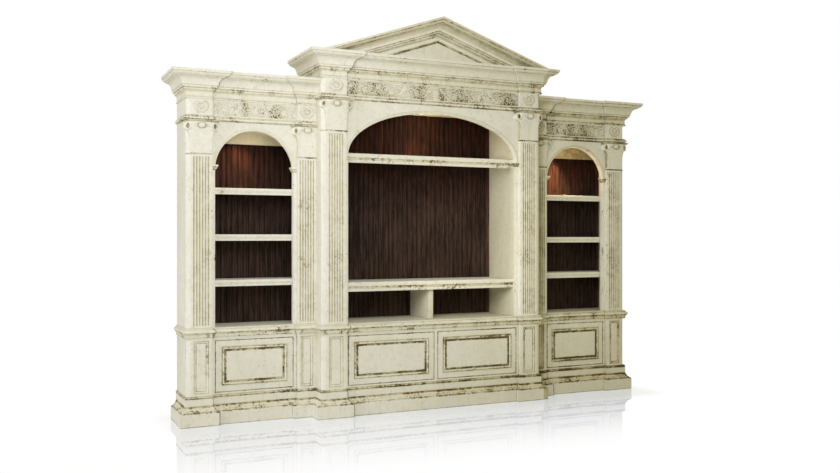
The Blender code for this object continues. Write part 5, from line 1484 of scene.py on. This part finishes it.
board, strip = crown["board"], carving["stripMargin"]
for side, sideName in sideNames.items():
    lid = [(bodyHalf - board, backY), (bodyHalf - board, sideFront + board),
           (outerEdge + board, sideFront + board), (outerEdge + board, sideFace + board),
           (innerEdge - board, sideFace + board), (innerEdge - board, sideFront + board),
           (innerX, sideFront + board), (innerX, backY)]
    shape, frieze = entablature(sidePath(), [(innerX, backY)], (1,), lid, bodyHalf, innerX,
                                levels["sideTop"], jointsAndShadows[side])
    friezeStrip(shape, innerEdge + strip, outerEdge - strip, sideFace, frieze,
                carving["dirtAndSideShade"][side], carving["waxed"][side])
    friezeBlock(shape, outerEdge, bodyHalf - chamfer, sideFront, frieze)
    friezeBlock(shape, innerX, innerEdge, sideFront, frieze)
    shape.build(sideName + "_entablature_carved", replaced=(sideName + "_entablature",),
                side=side, weld=True, angle=42)
lid = acrossBoth([(centreHalf - board, backY), (centreHalf - board, centreFront + board),
                  (centreEdge + board, centreFront + board),
                  (centreEdge + board, centreFace + board)])
shape, frieze = entablature(centrePath(backY), [], (6, 1), lid, centreHalf,
                            board - centreHalf, levels["centreTop"], jointsAndShadows[0])
friezeStrip(shape, strip - centreEdge, centreEdge - strip, centreFace, frieze,
            carving["dirtAndSideShade"][0], carving["waxed"][0], True)
friezeBlock(shape, chamfer - centreHalf, -centreEdge, centreFront, frieze)
friezeBlock(shape, centreEdge, centreHalf - chamfer, centreFront, frieze)
shape.build("centre_entablature_carved", replaced=("centre_entablature",), weld=True,
            angle=42)
print("entablatures done")


# Pediment: the crown's outline on the rake. At x it hangs below apex - slope * |x|, and each
# of its lines ends where it meets the level foot.

pediment = {"rakeRun": 0.930, "rakeHeight": 0.178, "board": 0.030, "tympanumShare": 0.6,
            # the first mark paints the rake's foot dark, as its painted shadow on the tympanum
            # with glaze; the second darkens the upper rake with glaze
            "calm": 0.9, "marks": ((0.0, 0.04494, 0.5, 1.0), (0.58, 1.0, 0.0, 0.26)),
            "tympanumGlaze": 0.12}
foot, apex = levels["pedimentFoot"], levels["pedimentApex"]
slope = (apex - foot) / pediment["rakeRun"]
tall, board = pediment["rakeHeight"], pediment["board"]
profile = moulding(crown["corniceShares"], crown["corniceReach"], tall, -tall,
                   calm=pediment["calm"], marks=pediment["marks"])
ring = np.vstack([profile, [(-board, 0, 0, 0), (-board, -tall, 0, 0)]])[::-1]
run = (apex + ring[:, 1] - foot) / slope
rings = np.empty((3, len(ring), 3))
rings[..., 1] = centreFront - ring[:, 0]
rings[0, :, 0], rings[1, :, 0], rings[2, :, 0] = run, 0, -run
rings[0, :, 2] = rings[2, :, 2] = foot
rings[1, :, 2] = apex + ring[:, 1]
shape = Shape()
shape.grid(rings, ring[:, 2], ring[:, 3], around=True, caps=True)
boardTop = apex - tall * pediment["tympanumShare"]
reach = (boardTop - foot) / slope
wedge = np.empty((2, 3, 3))
wedge[..., 0], wedge[..., 2] = [reach, -reach, 0], [foot, foot, boardTop]
wedge[0, :, 1], wedge[1, :, 1] = centreFront + board - 0.001, centreFront
shape.grid(wedge, 0.0, pediment["tympanumGlaze"], around=True, caps=True)
shape.build("pediment_moulded", replaced=("pediment",))
print("pediment done")


# Shelves

shelfLook = {
    "thick": 0.022, "noseDepth": 0.022, "setback": 0.001, "endGap": 0.001, "radius": 0.001,
    "noseShares": (
        (0.42, 0.00), (0.36, 0.10), (0.36, 0.34), (0.22, 0.42), (0.22, 0.50),
        (0.06, 0.56), (0.00, 0.66), (0.00, 0.82), (0.08, 0.94), (0.22, 1.00)),
    # nose height, and how much its edge shows wear: the side bays' are the cleaner
    "side": {"nose": 0.045, "calm": 0.12, "marks": ((0.0, 0.6, 0.16, 0.0),)},
    "deck": {"nose": 0.068, "calm": 0.85, "marks": ((0.0, 0.6, 0.38, 0.0),)},
}


def shelf(node, lowX, highX, face, kind, side):
    look, edge = shelfLook, shelfLook[kind]
    front, top, nose = face + frameThick + look["setback"], boxOf(node)[1][2], edge["nose"]
    profile = moulding(look["noseShares"], -look["noseDepth"], nose, top - nose,
                       look["radius"], edge["calm"], edge["marks"])
    back, under = front - (backFace - gap), top - look["thick"]
    inner = [(back, top), (back, under), (-look["noseDepth"], under),
             (-look["noseDepth"], top - nose)]
    shape = Shape()
    shape.sweep([(highX, front), (lowX, front)], profile, inner)
    shape.build(node + "_nosed", replaced=(node,), side=side)


for side, sideName in sideNames.items():
    for place in ("lower", "middle", "upper"):
        shelf(sideName + "_" + place + "_shelf", centreHalf + shelfLook["endGap"],
              wallX - shelfLook["endGap"], sideFace, "side", side)
inside = openings["centreOut"] - shelfLook["endGap"]
for node in ("arch_shelf", "deck"):
    shelf(node, -inside, inside, centreFace, "deck", 1)
print("shelves done")

# Beaded backboards

beading = {"pitch": 0.042, "groove": 0.007, "depth": 0.004, "bead": 0.0065,
           "quirk": 0.0022, "backing": 0.0005}


def backboard(node, lowX, highX, side):
    # in plan each board ends in a V groove, a half-round bead flush with the face and a
    # small quirk
    look = beading
    count = max(2, round((highX - lowX) / look["pitch"]))
    pitch = (highX - lowX) / count
    face, quirk, bead = backFace + look["backing"], look["quirk"], look["bead"]
    t = np.linspace(0, np.pi, 7)[1:-1]
    half = look["groove"] / 2
    start = half * 0.7
    unitX = np.concatenate([[-half, 0, start], start + bead / 2 * (1 - np.cos(t)),
                            [start + bead, start + bead + quirk]])
    unitY = np.concatenate([[0, look["depth"], quirk], quirk * (1 - np.sin(t)),
                            [0.0024, 0.0]])
    shade = np.concatenate([[0.6, 1.0, 1.0], 0 * t + 0.50, [1.0, 0.6]])
    middles = lowX + pitch * np.arange(1, count)
    frontX = (middles[:, None] + unitX).ravel()
    frontY = np.tile(face + unitY, count - 1)
    x = np.concatenate([[lowX, lowX], frontX, [highX, highX]])
    y = np.concatenate([[backY, face], frontY, [face, backY]])
    glaze = np.concatenate([[0, 0], np.tile(shade, count - 1), [0, 0]])
    low, high = boxOf(node)
    rings = np.empty((2, len(x), 3))
    rings[..., 0], rings[..., 1] = x, y
    rings[0, :, 2], rings[1, :, 2] = low[2], high[2]
    shape = Shape()
    shape.grid(rings[:, ::-1], 0.0, glaze[::-1], around=True, caps=True)
    shape.build(node + "_beaded", "dark_stain", replaced=(node,), side=side, angle=50)


for side, sideName in sideNames.items():
    backboard(sideName + "_backboard", innerX, wallX - gap, side)
inside = openings["centreOut"] - gap
backboard("centre_backboard", -inside, inside, 1)
print("backboards done")


# Plain boards, hardware and lights

# each board's even glaze is painted shade: an olive tint on the piers, the divider and the
# ceilings inside the bays, deepest on the right ceiling; the sides have none
for node, glaze in (("left_side", 0.0), ("right_side", 0.0), ("centre_left_pier", 0.24),
                    ("centre_right_pier", 0.24), ("left_ceiling", 0.32),
                    ("right_ceiling", 0.40), ("centre_ceiling", 0.25),
                    ("deck_divider", 0.24)):
    eased(node, glaze)

for name, item in nodes.items():
    for ending, slotName in (("_pivot", "steel"), ("_plunger", "steel"),
                             ("_case", "latch_grey")):
        if name.endswith(ending):
            for place in item.material_slots:
                place.material = finishes[slotName]

puck = {
    "radius": 0.034, "height": 0.014, "rim": 0.007, "step": 0.0012, "steps": 64,
    # the housing: share of the radius, share of the height below the ceiling
    "shares": ((1.0, 0.0), (1.0, 0.35), (0.975, 0.40), (0.975, 0.46), (1.0, 0.50),
               (1.0, 0.70), (0.985, 0.88), (0.95, 0.97), (0.91, 1.0)),
    "warm": (1.0, 0.66, 0.34), "soft": (1.0, 0.88, 0.52),
    # watts, turn and cone in degrees, and the watts of the soft glow round the lamp
    "left": (9.0, 17, 94, 0.20), "right": (38.0, 9, 84, 0.07), "centre": (8.0, 0, 94, 1.5),
}


def lensFinish():
    # frosted lens: milky face with fine rings, a little of its own light
    material, shader, place = startFinish("lens_frosted")
    rings = place.noise(260.0, 2.0)
    tone = place.blend(rgba(0.90, 0.86, 0.76), rgba(0.80, 0.76, 0.66), rings)
    shader.inputs["Emission Color"].default_value = rgba(*puck["warm"])
    shader.inputs["Emission Strength"].default_value = 1.4
    surface(shader, tone, 0.35 + 0.2 * rings, rings, 0.2, 0.0005)
    return material


def light(name, kind, place, watts, colour, turn=(0, 0, 0), **more):
    lamp = bpy.data.lights.new(name, kind)
    lamp.energy, lamp.color = watts, colour
    for key, value in more.items():
        setattr(lamp, key, value)
    item = bpy.data.objects.new(name, lamp)
    item.location, item.rotation_euler = place, turn
    scene.collection.objects.link(item)


finishes["lens"] = lensFinish()
for bay in ("left", "right", "centre"):
    node = bay + "_light"
    low, high = boxOf(node)
    (x, y, _), top = (low + high) / 2, high[2]
    radius, tall, foot = puck["radius"], puck["height"], top - puck["height"]
    rim, wide = radius - puck["rim"], radius - puck["rim"] - puck["step"]
    profile = [(radius * out, top - tall * down) for out, down in puck["shares"]]
    profile += [(rim, foot), (rim - 0.001, foot + 0.004), (wide, foot + 0.006)]
    housing = Shape()
    housing.turned(profile[::-1], (x, y), puck["steps"])
    housing.build(node + "_housing", "light_metal", replaced=(node,), angle=30)
    bulge = np.linspace(0.02, 1, 9)
    face = np.column_stack([wide * bulge, foot + puck["step"] + 0.003 * bulge ** 2])
    lens = Shape()
    lens.turned(np.vstack([face, [wide, foot + 0.0065]]), (x, y), puck["steps"])
    lens.build(node + "_lens", "light_metal", finishName="lens", angle=30)
    watts, aside, cone, softWatts = puck[bay]
    light(node + "_glow", "SPOT", (x, y, low[2] - 0.012), watts, puck["warm"],
          (math.radians(5), math.radians(aside), 0), spot_size=math.radians(cone),
          spot_blend=0.65, shadow_soft_size=0.02)
    light(node + "_soft", "POINT", (x + 0.05, y - 0.05, low[2] - 0.075), softWatts,
          puck["soft"], shadow_soft_size=0.04)
print("boards, hardware and lights done")


# Floor, light and camera

studio = {
    "floorTone": rgba(0.84, 0.86, 0.90), "floorRough": 0.02, "white": rgba(1, 1, 1),
    "mirror": rgba(0.930, 0.880, 0.770), "paper": rgba(1.097, 1.166, 1.318),
    "mirrorShare": 0.58, "mirrorReach": 1.5, "contact": 0.20, "contactReach": 0.22,
    "fill": rgba(1.0, 0.93, 0.55), "fillStrength": 0.48,
    "key": {"place": (-1.5, -2.6, 2.50), "aim": (-0.1, 0.0, 1.3), "size": 1.6,
            "watts": 43.0, "colour": (0.95, 0.97, 1.06)},
    "left": {"place": (-6.5, -1.2, 2.3), "aim": (-1.6, 0.1, 1.4), "size": 2.5,
             "watts": 107.0, "colour": (0.95, 0.98, 1.14)},
    "wall": {"place": (-1.0, -1.15, 1.45), "aim": (0.70, 0.10, 1.25), "cone": 56,
             "watts": 50.0, "colour": (1.0, 0.95, 0.68)},
}


# camera, mirror and see-through rays meet white where others meet the soft fill
world = bpy.data.worlds.new("studio")
scene.world = world
world.use_nodes = True
world.node_tree.nodes.clear()
wire = Wire(world.node_tree)
camera, glossy, through = (wire.node("ShaderNodeLightPath", output=ray) for ray in (0, 3, 6))
fill = wire.node("ShaderNodeBackground", None, {
    "Color": studio["fill"], "Strength": studio["fillStrength"]})
white = wire.node("ShaderNodeBackground", None, {"Color": studio["white"], "Strength": 1.0})
mixed = wire.node("ShaderNodeMixShader", None,
                  {0: camera.most(glossy).most(through), 1: fill, 2: white})
mixed.into(world.node_tree.nodes.new("ShaderNodeOutputWorld"), "Surface")

# To the camera the floor is white paper with a faint mirror, whose two colours add up to
# white and which fades with the distance from the footprint. Close by it keeps the shadow.
material, shader, place = startFinish("floor_white", 0.0)
shader.inputs["Base Color"].default_value = studio["floorTone"]
(0.5 + 0.02 * place.noise(3.0)).into(shader, "Roughness")
away = place.vector("ABSOLUTE").vector("SUBTRACT", (bodyHalf, backY, 0.0)).vector(
    "MAXIMUM", (0.0, 0.0, 0.0)).vector("LENGTH", output=1)
paper, tinted = (place.node("ShaderNodeEmission", None, {"Color": studio[key],
                                                         "Strength": 1.0})
                 for key in ("white", "paper"))
glossy = place.node("ShaderNodeBsdfGlossy", None, {
    "Color": studio["mirror"], "Roughness": studio["floorRough"]})
mirror = place.node("ShaderNodeMixShader", None,
                    {0: studio["mirrorShare"], 1: tinted, 2: glossy})
seen = place.node("ShaderNodeMixShader", None,
                  {0: away.fade(0.0, studio["mirrorReach"]), 1: mirror, 2: paper})
cameraRay = place.node("ShaderNodeLightPath", output=0)
share = cameraRay * (1 - studio["contact"] * (1 - away.fade(0.0, studio["contactReach"])))
both = place.node("ShaderNodeMixShader", None,
                  {0: share, 1: Wire(place.tree, shader.outputs[0]), 2: seen})
both.into(place.tree.nodes["Material Output"], "Surface")
shape = Shape()
shape.box((-40, 40), (-30, 60), (-0.02, 0.0))
mesh = shape.mesh("floor")
mesh.shade_flat()
mesh.materials.append(material)
floor = bpy.data.objects.new("floor", mesh)
scene.collection.objects.link(floor)


def aimed(look):
    away = np.array(look["aim"]) - np.array(look["place"])
    flat = math.hypot(away[0], away[1])
    return math.atan2(flat, -away[2]), 0, math.atan2(away[1], away[0]) - math.pi / 2


for name in ("key", "left"):
    look = studio[name]
    light(name, "AREA", look["place"], look["watts"], look["colour"], aimed(look),
          shape="SQUARE", size=look["size"])
# a soft spot reaches the wall inside the niche
look = studio["wall"]
light("wall", "SPOT", look["place"], look["watts"], look["colour"], aimed(look),
      spot_size=math.radians(look["cone"]), spot_blend=1.0, shadow_soft_size=0.3)

camera = bpy.data.cameras.new("camera")
camera.sensor_width, camera.lens = 36.0, 38.42
view = bpy.data.objects.new("camera", camera)
view.location = (-3.0211, -6.2570, 1.2989)
view.rotation_euler = (math.radians(90), 0, math.radians(-25.3086))
scene.collection.objects.link(view)
scene.camera = view
scene.view_settings.view_transform = "Standard"
print("studio done")
